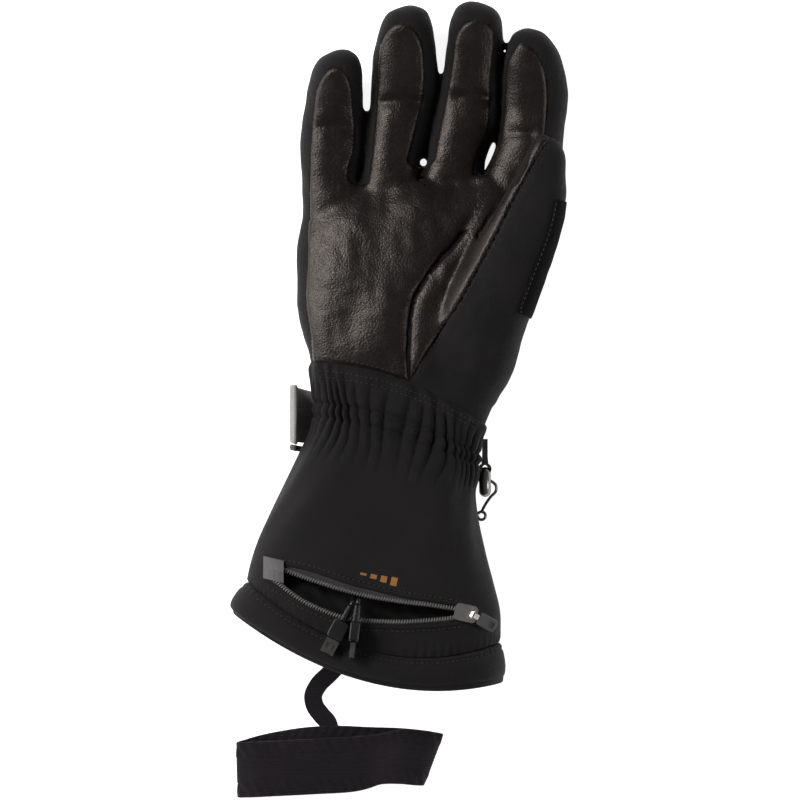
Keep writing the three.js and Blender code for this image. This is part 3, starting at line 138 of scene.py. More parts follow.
def lengths_along(line):
    """Length of the line up to each of its places."""
    return np.concatenate([[0], np.cumsum(np.linalg.norm(np.diff(line, axis=0), axis=1))])


def places_at(line, length, at):
    """Places on the line where its length comes to the given lengths."""
    return np.stack([np.interp(at, length, line[:, k]) for k in range(line.shape[1])], axis=-1)


def smooth_path(points, count):
    """Evenly spaced points on a smooth curve through the given points."""
    points = np.asarray(points, float)
    chord = lengths_along(points)
    fine = np.linspace(0, chord[-1], 40 * len(points))
    dense = np.stack([through(chord, points[:, k], fine) for k in range(points.shape[1])], axis=1)
    length = lengths_along(dense)
    return places_at(dense, length, np.linspace(0, length[-1], count))


def unit(vectors):
    """Vectors brought to a length of one."""
    return vectors / np.maximum(np.linalg.norm(vectors, axis=-1, keepdims=True), 1e-12)


def bell(value, at, wide):
    """One at a value, falling off round it."""
    return np.exp(-(((value - at) / wide) ** 2))


def piece_from(name, points, faces):
    """A piece from points in millimetres and its faces, riding on the glove."""
    mesh = bpy.data.meshes.new(name)
    placed = (np.asarray(points, float).reshape(-1, 3) + LAID_AT) * MM
    faces = [np.asarray(part) for part in (faces if isinstance(faces, list) else [faces])]
    mesh.from_pydata(placed, [], [row for part in faces for row in part.tolist()])
    mesh.shade_smooth()
    piece = bpy.data.objects.new(name, mesh)
    scene.collection.objects.link(piece)
    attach(piece, "glove")
    return piece


def grid_faces(rows, columns, closed_rows=False, closed_columns=False, start=0):
    """Four-sided faces of a grid of rows by columns, joined round where it is closed."""
    r = np.arange(rows if closed_rows else rows - 1)
    c = np.arange(columns if closed_columns else columns - 1)
    r, c = np.meshgrid(r, c, indexing="ij")
    next_r, next_c = (r + 1) % rows, (c + 1) % columns
    corners = [r * columns + c, r * columns + next_c, next_r * columns + next_c, next_r * columns + c]
    return np.stack(corners, axis=-1).reshape(-1, 4) + start


def across_and_up(path):
    """For each point of a path: a unit vector across it and one that stands up from it."""
    way = unit(np.gradient(path, axis=0))
    across = unit(np.cross(way, [0.0, 0.0, 1.0]))
    return across, np.cross(across, way)


def swept(path, profile):
    """A closed profile of (across, up) pairs carried along a path; rows of points, one per station."""
    across, rise = across_and_up(path)
    sides = profile[None, :, 0, None] * across[:, None, :] + profile[None, :, 1, None] * rise[:, None, :]
    return path[:, None, :] + sides


def tube_faces(rows, columns):
    """Faces of a closed tube with a flat end at each side, for rows of rings."""
    first = np.arange(columns)[None, :]
    last = first[:, ::-1] + (rows - 1) * columns
    return [grid_faces(rows, columns, closed_columns=True)[:, ::-1], first, last]


def circle(radius, sides):
    """A round profile of that many sides."""
    turn = np.arange(sides) * 2 * np.pi / sides
    return radius * np.stack([np.cos(turn), np.sin(turn)], axis=1)


def node_group(name, inputs, outputs):
    """An empty shader group with its sockets; returns the group, its inputs and its outputs."""
    group = bpy.data.node_groups.new(name, "ShaderNodeTree")
    for socket, kind in inputs:
        group.interface.new_socket(socket, in_out="INPUT", socket_type=kind)
    for socket, kind in outputs:
        group.interface.new_socket(socket, in_out="OUTPUT", socket_type=kind)
    return group, group.nodes.new("NodeGroupInput"), group.nodes.new("NodeGroupOutput")


def maths(tree, operation, first, second=None, third=None):
    """A math node on sockets or numbers; returns its value."""
    node = tree.nodes.new("ShaderNodeMath")
    node.operation = operation
    for i, value in enumerate((first, second, third)):
        if isinstance(value, (int, float)):
            node.inputs[i].default_value = value
        elif value is not None:
            tree.links.new(value, node.inputs[i])
    return node.outputs[0]


def texture(tree, kind, vector, scale, **settings):
    """A noise or Voronoi node of that scale over the given coordinates."""
    node = tree.nodes.new(kind)
    tree.links.new(vector, node.inputs["Vector"])
    node.inputs["Scale"].default_value = scale
    for socket, value in settings.items():
        node.inputs[socket].default_value = value
    return node


def tone_group():
    """Mixes two colours in large soft patches and fine mottling, and makes the roughness uneven."""
    colours = [("Colour", "NodeSocketColor"), ("Second", "NodeSocketColor")]
    inputs = [("Vector", "NodeSocketVector"), *colours, ("Roughness", "NodeSocketFloat")]
    group, given, result = node_group(
        "tone", inputs, [("Colour", "NodeSocketColor"), ("Roughness", "NodeSocketFloat")]
    )
    large = texture(group, "ShaderNodeTexNoise", given.outputs["Vector"], 38, Detail=3).outputs[0]
    fine = texture(group, "ShaderNodeTexNoise", given.outputs["Vector"], 520, Detail=2).outputs[0]
    share = maths(group, "MULTIPLY_ADD", large, 1.7, maths(group, "MULTIPLY_ADD", fine, 0.8, -0.75))
    mix = group.nodes.new("ShaderNodeMix")
    mix.data_type = "RGBA"
    mix.clamp_factor = True
    group.links.new(share, mix.inputs["Factor"])
    group.links.new(given.outputs["Colour"], mix.inputs["A"])
    group.links.new(given.outputs["Second"], mix.inputs["B"])
    group.links.new(mix.outputs["Result"], result.inputs["Colour"])
    rough = maths(group, "MULTIPLY_ADD", fine, 0.16, maths(group, "MULTIPLY_ADD", large, 0.12, -0.14))
    group.links.new(maths(group, "ADD", given.outputs["Roughness"], rough), result.inputs["Roughness"])
    return group


def pattern_group(name, height):
    """A group that turns coordinates into a height, as the given function of the group says."""
    group, given, result = node_group(
        name, [("Vector", "NodeSocketVector"), ("Size", "NodeSocketFloat")], [("Height", "NodeSocketFloat")]
    )
    scaled = group.nodes.new("ShaderNodeVectorMath")
    scaled.operation = "SCALE"
    group.links.new(given.outputs["Vector"], scaled.inputs[0])
    group.links.new(maths(group, "DIVIDE", 1.0, given.outputs["Size"]), scaled.inputs["Scale"])
    apart = group.nodes.new("ShaderNodeSeparateXYZ")
    group.links.new(scaled.outputs[0], apart.inputs[0])
    group.links.new(height(group, scaled.outputs[0], *apart.outputs), result.inputs["Height"])
    return group


def woven(tree, vector, x, y, z):
    """Threads over and under: crossing sines, with a little unevenness."""
    u = maths(tree, "MULTIPLY", maths(tree, "ADD", x, z), 2 * math.pi)
    v = maths(tree, "MULTIPLY", maths(tree, "SUBTRACT", y, z), 2 * math.pi)
    cross = maths(tree, "MULTIPLY", maths(tree, "SINE", u), maths(tree, "SINE", v))
    uneven = texture(tree, "ShaderNodeTexNoise", vector, 0.4, Detail=2).outputs[0]
    return maths(tree, "MULTIPLY_ADD", uneven, 0.9, maths(tree, "MULTIPLY", cross, 0.5))


def ribbed(tree, vector, x, y, z):
    """Ribs of a woven band along its length, crossed by finer threads."""
    rib = maths(tree, "ABSOLUTE", maths(tree, "SINE", maths(tree, "MULTIPLY", y, math.pi)))
    thread = maths(tree, "SINE", maths(tree, "MULTIPLY", maths(tree, "ADD", x, z), 3 * math.pi))
    uneven = texture(tree, "ShaderNodeTexNoise", vector, 0.5, Detail=2).outputs[0]
    both = maths(tree, "MULTIPLY_ADD", maths(tree, "ABSOLUTE", thread), 0.35, rib)
    return maths(tree, "MULTIPLY_ADD", uneven, 0.5, both)


def pebbled(tree, vector, x, y, z):
    """Leather: rounded pebbles of two sizes with creases between them."""
    big = texture(tree, "ShaderNodeTexVoronoi", vector, 0.62, Randomness=0.9).outputs["Distance"]
    small = texture(tree, "ShaderNodeTexVoronoi", vector, 1.5, Randomness=1.0).outputs["Distance"]
    soft = texture(tree, "ShaderNodeTexNoise", vector, 0.3, Detail=4).outputs[0]
    pebbles = maths(tree, "MULTIPLY_ADD", small, -0.5, maths(tree, "MULTIPLY", big, -0.9))
    return maths(tree, "MULTIPLY_ADD", soft, 0.2, pebbles)


def moulded(tree, vector, x, y, z):
    """Moulded or plated surfaces: a fine sand texture and faint long scratches."""
    sand = texture(tree, "ShaderNodeTexNoise", vector, 1.0, Detail=4).outputs[0]
    worn = texture(tree, "ShaderNodeTexNoise", vector, 0.07, Detail=1).outputs[0]
    return maths(tree, "MULTIPLY_ADD", worn, 1.5, maths(tree, "MULTIPLY", sand, 0.7))


tone = tone_group()
patterns = {
    "woven": pattern_group("woven", woven),
    "ribbed": pattern_group("ribbed", ribbed),
    "pebbled": pattern_group("pebbled", pebbled),
    "moulded": pattern_group("moulded", moulded),
}


def finish(name, colour, second, rough, pattern, size, relief, **shader):
    """A material: two mottled colours, a pattern of a size and relief in millimetres, shader values."""
    material = bpy.data.materials.new(name)
    material.use_nodes = True
    tree = material.node_tree
    principled = tree.nodes["Principled BSDF"]
    place = tree.nodes.new("ShaderNodeTexCoord").outputs["Object"]
    mottle = tree.nodes.new("ShaderNodeGroup")
    mottle.node_tree = tone
    tree.links.new(place, mottle.inputs["Vector"])
    mottle.inputs["Colour"].default_value = (*colour, 1)
    mottle.inputs["Second"].default_value = (*second, 1)
    mottle.inputs["Roughness"].default_value = rough
    tree.links.new(mottle.outputs["Colour"], principled.inputs["Base Color"])
    tree.links.new(mottle.outputs["Roughness"], principled.inputs["Roughness"])
    surface = tree.nodes.new("ShaderNodeGroup")
    surface.node_tree = patterns[pattern]
    tree.links.new(place, surface.inputs["Vector"])
    surface.inputs["Size"].default_value = size * MM
    bump = tree.nodes.new("ShaderNodeBump")
    bump.inputs["Strength"].default_value = 1
    bump.inputs["Distance"].default_value = relief * MM
    tree.links.new(surface.outputs["Height"], bump.inputs["Height"])
    tree.links.new(bump.outputs["Normal"], principled.inputs["Normal"])
    for socket, value in shader.items():
        principled.inputs[socket.replace("_", " ")].default_value = value
    return material


finishes = {
    "softshell": finish(
        "softshell", (0.0042, 0.0034, 0.0042), (0.0088, 0.0068, 0.0078), 0.72, "woven", 0.55, 0.16,
        Specular_IOR_Level=0.22, Sheen_Weight=0.03, Sheen_Roughness=0.4,
    ),
    "leather": finish(
        "leather", (0.006, 0.0046, 0.0044), (0.0115, 0.0087, 0.0079), 0.36, "pebbled", 0.72, 0.15,
        Specular_IOR_Level=0.34, Specular_Tint=(1, 0.88, 0.8, 1),
    ),
    "patch": finish(
        "patch", (0.0028, 0.0024, 0.0028), (0.0055, 0.0048, 0.0052), 0.95, "woven", 0.4, 0.2,
        Specular_IOR_Level=0.08, Sheen_Weight=0.05, Sheen_Roughness=0.4,
    ),
    "lining": finish(
        "lining", (0.002, 0.0018, 0.002), (0.005, 0.0042, 0.005), 0.75, "woven", 0.6, 0.1,
        Specular_IOR_Level=0.15,
    ),
    "zip_tape": finish(
        "zip_tape", (0.018, 0.017, 0.0175), (0.05, 0.047, 0.047), 0.6, "ribbed", 0.6, 0.2,
        Specular_IOR_Level=0.35,
    ),
    "zip_coil": finish(
        "zip_coil", (0.085, 0.082, 0.08), (0.17, 0.164, 0.16), 0.35, "moulded", 0.8, 0.02,
    ),
    "nickel": finish(
        "nickel", (0.44, 0.42, 0.395), (0.55, 0.53, 0.5), 0.32, "moulded", 1.2, 0.004, Metallic=1,
    ),
    "gunmetal": finish(
        "gunmetal", (0.17, 0.165, 0.16), (0.26, 0.253, 0.245), 0.3, "moulded", 1.0, 0.004, Metallic=1,
    ),
    "rubber": finish(
        "rubber", (0.045, 0.042, 0.043), (0.078, 0.073, 0.074), 0.6, "moulded", 0.3, 0.04,
        Specular_IOR_Level=0.4,
    ),
    "black_plastic": finish(
        "black_plastic", (0.0045, 0.0043, 0.0046), (0.0085, 0.008, 0.0085), 0.38, "moulded", 0.3, 0.025,
    ),
    "grey_strap": finish(
        "grey_strap", (0.22, 0.212, 0.208), (0.31, 0.3, 0.295), 0.6, "ribbed", 0.7, 0.16,
        Specular_IOR_Level=0.3, Sheen_Weight=0.05,
    ),
    "elastic": finish(
        "elastic", (0.006, 0.0038, 0.0058), (0.0135, 0.0092, 0.0128), 0.66, "ribbed", 0.85, 0.26,
        Specular_IOR_Level=0.2, Sheen_Weight=0.03,
    ),
    "thread": finish(
        "thread", (0.014, 0.0122, 0.0132), (0.024, 0.0212, 0.0224), 0.5, "ribbed", 0.3, 0.05,
        Specular_IOR_Level=0.35,
    ),
    "print": finish(
        "print", (0.2, 0.085, 0.018), (0.3, 0.13, 0.03), 0.5, "moulded", 0.3, 0.03,
    ),
}


def dressed(piece, slot, *nodes):
    """Gives a piece the material named by the slot, and has it stand for these CAD nodes."""
    piece.data.materials.clear()
    piece.data.materials.append(finishes[slot])
    if nodes:
        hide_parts(*nodes)
    return piece


for letter, route in (("a", LEAD_A), ("b", LEAD_B)):
    lead_path = smooth_path(route, LEAD_STEPS)
    rings = swept(lead_path, circle(LEAD_DIAMETER / 2, LEAD_SIDES))
    lead = piece_from(f"lead_{letter}", rings, tube_faces(LEAD_STEPS, LEAD_SIDES))
    dressed(lead, "black_plastic", f"cable_{letter}")


# The padded hand: softshell over wadding, sewn as a palm, four fingers and a thumb folded over the
# index finger. It is one skin here, open at the wrist, where the cuff is sewn over it.
PALM_WIDTH = 127
PALM_LENGTH = 103
PALM_DEPTH = 40
FINGER_DEPTH = 27
FINGER_CURL = 13
THUMB_LENGTH = 138
THUMB_WIDTH = 45
THUMB_DEPTH = 35
THUMB_RISE = 43
STRAP_ROOM = 2.4
WRIST_WIDTH = 83
WRIST_DEPTH = 35
CUFF_LENGTH = 109
HEM_WIDTH = 127
HEM_DEPTH = 56
HEM_SHIFT = -13.25
HEM_SAG = 19
SEAM_SLANT = 31
SEAM_MIDDLE = 3.25
BACK_FLAT = 1.25
BACK_SAG = 0.35
ROW_POWER = 2.6
TUCK = 7
SKIN_VOXEL = 0.0011
SKIN_SMOOTHING = 7
SEAM_REACH = 9  # from the wrist seam to the full swell
ON_TABLE = 1.5  # skin below this height lies flat
CUFF_COLUMNS = ("along", "shift", "flare", "slant", "sag", "deep", "lift")
CUFF_TABLE = dict(zip(CUFF_COLUMNS, np.array([
    (0, 0.075, 0.148, 1.0, 0.39, 0.14, 0.95),
    (0.1, 0.13, 0.045, 0.87, 0.32, 0.07, 1),
    (0.19, 0.13, 0, 0.81, 0.21, 0, 1),
    (0.282, 0.23, 0.034, 0.74, 0.08, 0.1, 1),
    (0.351, 0.45, 0.102, 0.65, 0, 0.29, 0.9),
    (0.502, 0.735, 0.318, 0.55, -0.08, 0.52, 0.25),
    (0.654, 0.905, 0.602, 0.52, -0.26, 0.71, 0),
    (0.798, 0.96, 0.841, 0.565, -0.53, 0.86, 0),
    (0.899, 0.945, 0.966, 0.726, -0.74, 0.95, 0),
    (1, 1, 1, 0.98, -1, 1, 0),
]).T))
PALM_COLUMNS = ("along", "centre", "width", "slant", "sag", "deep", "lift")
PALM_TABLE = dict(zip(PALM_COLUMNS, np.array([
    (0.104, 0.01, 0.756, 0.157, 0.04, 1.0, 0.6),
    (0.248, 0.024, 0.815, 0.059, 0.016, 1.03, 0.15),
    (0.449, 0.031, 0.87, 0.008, 0, 1.0, 0),
    (0.655, 0.068, 0.931, -0.028, 0.016, 0.93, 0),
    (0.874, 0.101, 0.99, -0.067, 0.03, 0.8, 0),
    (1, 0.112, 0.975, -0.075, 0.04, 0.6, 0),
]).T))
FINGERS = {
    "little": {
        "tip": (-0.23, 1.667), "root": (-0.254, 0.77), "width": 32, "trim": (4.5, 5.2, 8.5),
        "edges": [
            (0.01, -0.17, 0.14), (0.035, -0.325, 0.24), (0.075, -0.42, 0.295), (0.14, -0.48, 0.325),
            (0.25, -0.527, 0.367), (0.54, -0.583, 0.415), (0.7, -0.575, 0.35), (0.8, -0.57, 0.5),
            (1, -0.545, 0.58),
        ],
    },
    "ring": {
        "tip": (0.0256, 1.891), "root": (-0.045, 0.77), "width": 34, "trim": (3, 6.6, 9.5),
        "edges": [
            (0.009, -0.13, 0.15), (0.026, -0.272, 0.28), (0.056, -0.353, 0.353), (0.113, -0.412, 0.426),
            (0.2, -0.44, 0.5), (0.33, -0.434, 0.555), (0.567, -0.428, 0.468), (0.697, -0.443, 0.393),
            (0.775, -0.47, 0.4), (0.85, -0.57, 0.55), (1, -0.63, 0.62),
        ],
    },
    "middle": {
        "tip": (0.2854, 1.91), "root": (0.1594, 0.77), "width": 32, "trim": (3.6, 4.2, 9.8),
        "edges": [
            (0.0085, -0.136, 0.177), (0.0255, -0.2375, 0.34), (0.055, -0.284, 0.473),
            (0.106, -0.322, 0.545), (0.19, -0.319, 0.58), (0.34, -0.312, 0.6), (0.447, -0.334, 0.645),
            (0.553, -0.368, 0.652), (0.732, -0.413, 0.53), (0.81, -0.5, 0.62), (1, -0.55, 0.625),
        ],
    },
    "index": {
        "tip": (0.494, 1.78), "root": (0.427, 0.77), "width": 33, "trim": (0.6, 10, 8),
        "edges": [
            (0.007, -0.09, 0.123), (0.026, -0.19, 0.265), (0.065, -0.235, 0.395), (0.122, -0.256, 0.532),
            (0.2, -0.272, 0.635), (0.305, -0.262, 0.715), (0.448, -0.25, 0.736), (0.568, -0.294, 0.723),
            (0.703, -0.42, 0.665), (0.808, -0.535, 0.586), (1, -0.576, 0.53),
        ],
    },
}
FINGER_CREASE = 0.42
TIP_ROUND = 0.52
FINGER_POWER = 2.5
FINGER_FLAT = 1.12
THUMB_TIP = (0.5886, 1.2646)
THUMB_ROOT = (0.2776, -0.022)
THUMB_COLUMNS = ("along", "aside", "wide", "high", "deep")
THUMB_TABLE = dict(zip(THUMB_COLUMNS, np.array([
    (0.02, 0.017, 0.122, 1, 0.157),
    (0.057, 0.039, 0.185, 1, 0.235),
    (0.12, 0.05, 0.238, 1, 0.29),
    (0.215, 0.067, 0.3, 1, 0.325),
    (0.347, 0.038, 0.385, 0.955, 0.4),
    (0.487, -0.027, 0.438, 0.885, 0.457),
    (0.63, -0.078, 0.467, 0.815, 0.486),
    (0.78, -0.122, 0.489, 0.72, 0.5),
    (0.91, -0.122, 0.49, 0.628, 0.486),
    (1, -0.089, 0.39, 0.512, 0.37),
]).T))
THUMB_POWER = 2.2


def rounded_pair(angle, power):
    """Cosine and sine bent to a rounded rectangle: a power of 2 is an ellipse, more is boxier."""
    c, s = np.cos(angle), np.sin(angle)
    return np.sign(c) * np.abs(c) ** (2 / power), np.sign(s) * np.abs(s) ** (2 / power)


def cuff_row(share):
    """The cuff's row at a share of its length: middle, centre, width, slant, sag, depth, lift."""
    at = at_share(CUFF_TABLE, share)
    return {
        "middle": SEAM_MIDDLE - np.asarray(share) * CUFF_LENGTH,
        "centre": at["shift"] * HEM_SHIFT,
        "width": WRIST_WIDTH + (HEM_WIDTH - WRIST_WIDTH) * at["flare"],
        "slant": at["slant"] * SEAM_SLANT,
        "sag": at["sag"] * HEM_SAG,
        "depth": WRIST_DEPTH + (HEM_DEPTH - WRIST_DEPTH) * at["deep"],
        "lift": at["lift"] * STRAP_ROOM,
    }


def row_points(row, angle, push=0.0):
    """A slanted, sagging rounded ring on its flat back, pushed outwards by a distance.

    x is the row's centre plus its half width times the bent cosine. y falls across the row by its
    slant and sags by one less the square of that cosine. z stands on the row's lift."""
    across, up = rounded_pair(angle, ROW_POWER)
    sag = row["sag"] * np.where(up > 0, 1, BACK_SAG)
    deep = row["depth"] / 2
    reach = np.where(up > 0, deep + push, deep * BACK_FLAT)
    x = row["centre"] + across * (row["width"] / 2 + push)
    y = row["middle"] - row["slant"] * across / 2 + sag * (1 - across**2)
    floor_line = row["lift"] + max(-push, 0)
    z = np.maximum(floor_line, row["lift"] + deep + up * reach)
    return np.stack(np.broadcast_arrays(x, y, z), axis=-1)


def row_line(row, across):
    """x and y along a row's palm side, at shares of its half width."""
    y = row["middle"] - row["slant"] * across / 2 + row["sag"] * (1 - across**2)
    return np.stack([row["centre"] + across * row["width"] / 2, y], axis=1)


def palm_row(share):
    """The palm's row at a share of its length, from the finger roots' table."""
    at = at_share(PALM_TABLE, share)
    return {
        "middle": SEAM_MIDDLE + share * PALM_LENGTH,
        "centre": at["centre"] * PALM_WIDTH,
        "width": at["width"] * PALM_WIDTH,
        "slant": at["slant"] * PALM_WIDTH,
        "sag": at["sag"] * PALM_WIDTH,
        "depth": at["deep"] * PALM_DEPTH,
        "lift": at["lift"] * STRAP_ROOM,
    }


def on_palm(shares):
    """A place given as shares of the palm's width and length."""
    shares = np.asarray(shares, float)
    return np.stack([shares[..., 0] * PALM_WIDTH, SEAM_MIDDLE + shares[..., 1] * PALM_LENGTH], axis=-1)


def finger_edges(finger, along):
    """x of a finger's two sides and y, at shares of its length from the tip."""
    table = np.array(finger["edges"])
    tip, root = on_palm(finger["tip"]), on_palm(finger["root"])
    knots = np.concatenate([[0], np.sqrt(table[:, 0])])
    middle = (table[0, 1] + table[0, 2]) / 2
    left = through(knots, np.concatenate([[middle - 0.02], table[:, 1]]), np.sqrt(along))
    right = through(knots, np.concatenate([[middle + 0.02], table[:, 2]]), np.sqrt(along))
    axis = tip[0] + (root[0] - tip[0]) * along
    y = tip[1] + (root[1] - tip[1]) * along
    return axis + left * finger["width"], axis + right * finger["width"], y


def finger_rings(finger, rows, sides):
    """Rings of a finger from its tip to its root, bent up towards the tip."""
    along = np.linspace(0.03, 1, rows) ** 2
    low, high, y = finger_edges(finger, along)
    tip, root = on_palm(finger["tip"]), on_palm(finger["root"])
    from_tip = (tip[1] - root[1]) * along
    tip_part = np.minimum(1, from_tip / (TIP_ROUND * FINGER_DEPTH))
    half = np.sqrt(1 - (1 - tip_part) ** 2) * FINGER_DEPTH / 2
    middle = FINGER_DEPTH / 2 + FINGER_CURL * np.maximum(0, 1 - along / FINGER_CREASE) ** 1.2
    across, up = rounded_pair((np.arange(sides) + 0.5) * 2 * np.pi / sides, FINGER_POWER)
    x = (low + high)[:, None] / 2 + across[None, :] * (high - low)[:, None] / 2
    reach = np.where(up > 0, 1, FINGER_FLAT)[None, :] * half[:, None]
    z = np.maximum(0, middle[:, None] + up[None, :] * reach)
    return np.stack([x, np.broadcast_to(y[:, None], x.shape), z], axis=-1)


def thumb_point(along, angle, push=0.0):
    """A point on the thumb: its slanted line from tip to root, with a rounded section round it."""
    tip, root = on_palm(THUMB_TIP), on_palm(THUMB_ROOT)
    line = (tip - root) / np.linalg.norm(tip - root)
    at = at_share(THUMB_TABLE, along)
    across, up = rounded_pair(angle, THUMB_POWER)
    aside = at["aside"] * THUMB_WIDTH + across * (at["wide"] * THUMB_WIDTH + push)
    back = along * THUMB_LENGTH
    x = tip[0] - line[0] * back + line[1] * aside
    y = tip[1] - line[1] * back - line[0] * aside
    z = at["high"] * THUMB_RISE + up * (at["deep"] * THUMB_DEPTH + push)
    return np.stack(np.broadcast_arrays(x, y, z), axis=-1)


def joined(solids):
    """Points and faces of several closed lofts (rings of equal sides), as one list."""
    points, faces, start = [], [], 0
    for rings in solids:
        rows, columns = rings.shape[:2]
        points.append(rings.reshape(-1, 3))
        faces += [part + start for part in tube_faces(rows, columns)]
        start += rows * columns
    return np.concatenate(points), faces


def hand_lofts():
    """The closed lofts of the palm, the fingers and the thumb."""
    turn = (np.arange(96) + 0.5) * 2 * np.pi / 96
    seam = cuff_row(np.float64(0))
    sunk = dict(seam, middle=seam["middle"] - TUCK)
    palm = [palm_row(share) for share in np.linspace(PALM_TABLE["along"][0], 1, 26)]
    between = [{k: seam[k] + (palm[0][k] - seam[k]) * way for k in seam} for way in (0.33, 0.67)]
    rings = [row_points(sunk, turn, push=-TUCK / 2)]
    lofts = [np.stack(rings + [row_points(row, turn) for row in (seam, *between, *palm)])]
    lofts += [finger_rings(finger, 46, 56) for finger in FINGERS.values()]
    shares = np.linspace(THUMB_TABLE["along"][0], 1, 60)[:, None]
    thumb_turn = ((np.arange(56) + 0.5) * 2 * np.pi / 56)[None, :]
    lofts.append(thumb_point(shares, thumb_turn))
    return lofts


def applied(piece):
    """The piece with its modifiers worked into its mesh."""
    depsgraph = bpy.context.evaluated_depsgraph_get()
    mesh = bpy.data.meshes.new_from_object(piece.evaluated_get(depsgraph))
    piece.modifiers.clear()
    old = piece.data
    piece.data = mesh
    bpy.data.meshes.remove(old)
    return piece


def vectors_of(parts, value):
    """A vector that all parts of a mesh have, one row for each."""
    flat = np.empty(len(parts) * 3)
    parts.foreach_get(value, flat)
    return flat.reshape(-1, 3)


def points_of(piece):
    """The piece's points in millimetres from the middle of the palm's width."""
    return vectors_of(piece.data.vertices, "co") / MM - LAID_AT


def put_points(piece, points):
    """Writes points in millimetres back into the piece."""
    piece.data.vertices.foreach_set("co", ((points + LAID_AT) * MM).ravel())
    piece.data.update()


def normals_of(piece):
    """The piece's normals at its points."""
    return vectors_of(piece.data.vertex_normals, "vector")


def ripple(points, wave, seed, waves=14):
    """Soft uneven swell of about one: a sum of sines in chosen random directions."""
    chance = np.random.default_rng(seed)
    ways = unit(chance.normal(size=(waves, 3))) * (2 * np.pi / wave)
    ways = ways * chance.uniform(0.7, 1.4, (waves, 1))
    phase = chance.uniform(0, 2 * np.pi, waves)
    return np.sin(points @ ways.T + phase).sum(axis=1) / math.sqrt(waves / 2)


def to_line(points, line):
    """Distance of each point (x, y) from a line through places, and the share of the line's length."""
    line = np.asarray(line, float)
    starts, steps = line[:-1], np.diff(line, axis=0)
    lengths = np.linalg.norm(steps, axis=1)
    done = np.concatenate([[0], np.cumsum(lengths)])
    best, share = np.full(len(points), 1e9), np.zeros(len(points))
    for start, step, length, before in zip(starts, steps, lengths, done):
        way = np.clip(((points[:, :2] - start) @ step) / length**2, 0, 1)
        far = np.hypot(*(points[:, :2] - start - way[:, None] * step).T)
        nearer = far < best
        best = np.where(nearer, far, best)
        share = np.where(nearer, (before + way * length) / done[-1], share)
    return best, share


def one_skin(name, lofts):
    """The closed lofts joined into one even skin by voxels, then smoothed."""
    piece = piece_from(name, *joined(lofts))
    union = piece.modifiers.new("union", "REMESH")
    union.mode = "VOXEL"
    union.voxel_size = SKIN_VOXEL
    union.use_smooth_shade = True
    rounding = piece.modifiers.new("rounding", "SMOOTH")
    rounding.factor = 0.5
    rounding.iterations = SKIN_SMOOTHING
    return applied(piece)


def seam_line(x, z):
    """y of the wrist seam over a place: its row, less bowed at the back of the hand."""
    row = cuff_row(np.float64(0))
    across = np.clip((x - row["centre"]) / (row["width"] / 2), -1, 1)
    bow = row["sag"] * (1 - across**2) * np.where(z > WRIST_DEPTH / 2, 1, BACK_SAG)
    return row["middle"] - row["slant"] * across / 2 + bow


def keep_faces(piece, keep):
    """Takes the faces that aren't kept out of the piece, and the points that only they used."""
    corners = np.empty(len(piece.data.loops), int)
    piece.data.loops.foreach_get("vertex_index", corners)
    starts = np.empty(len(piece.data.polygons), int)
    piece.data.polygons.foreach_get("loop_start", starts)
    points = points_of(piece)
    faces = corners[starts[:, None] + np.arange(4)][keep]
    used, renumbered = np.unique(faces, return_inverse=True)
    old = piece.data
    placed = (points[used] + LAID_AT) * MM
    piece.data = bpy.data.meshes.new(old.name)
    piece.data.from_pydata(placed, [], renumbered.reshape(-1, 4).tolist())
    piece.data.shade_smooth()
    bpy.data.meshes.remove(old)


# Folds and seams pressed into the padding: line in pixels of the photograph, depth and half width in
# millimetres. Height limits keep a fold on the palm or on the thumb.
PRESSED = [
    ([(377, 104), (390, 101), (405, 100), (424, 103)], 2.1, 2.4, (8, 60)),
    ([(449, 97), (465, 96), (480, 97), (496, 101)], 2.3, 2.4, (8, 60)),
    ([(313, 128), (325, 126), (340, 127), (353, 130)], 1.6, 2.4, (8, 60)),
    ([(505, 133), (520, 132), (537, 134)], 1.9, 2.4, (8, 30)),
    ([(428, 184), (445, 181), (462, 182), (480, 186)], 0.8, 2.6, (20, 60)),
    ([(411, 380), (407, 350), (408, 330), (410, 310), (414, 295), (420, 285), (430, 270), (438, 260),
      (450, 248), (465, 228), (480, 200)], 1.6, 2.4, (20, 60)),
    ([(437, 262), (436, 285)], 0.8, 1.8, (20, 60)),
    ([(445, 285), (450, 297)], 0.6, 1.6, (20, 60)),
    ([(554, 139), (545, 145), (530, 170), (510, 206), (480, 265), (440, 332), (411, 380)],
     0.6, 1.3, (30, 60)),
    ([(470, 330), (462, 352), (458, 372)], 0.7, 4.0, (20, 60)),
    ([(500, 320), (488, 350), (480, 385)], 0.6, 4.0, (10, 60)),
    ([(330, 290), (345, 305), (352, 325)], 0.5, 4.0, (20, 60)),
]


def from_pixels(line):
    """Pixels of the photograph (800 across) in millimetres, y up."""
    line = np.asarray(line, float)
    return np.stack([(line[:, 0] - 399.5) / 2, (400 - line[:, 1]) / 2], axis=1)


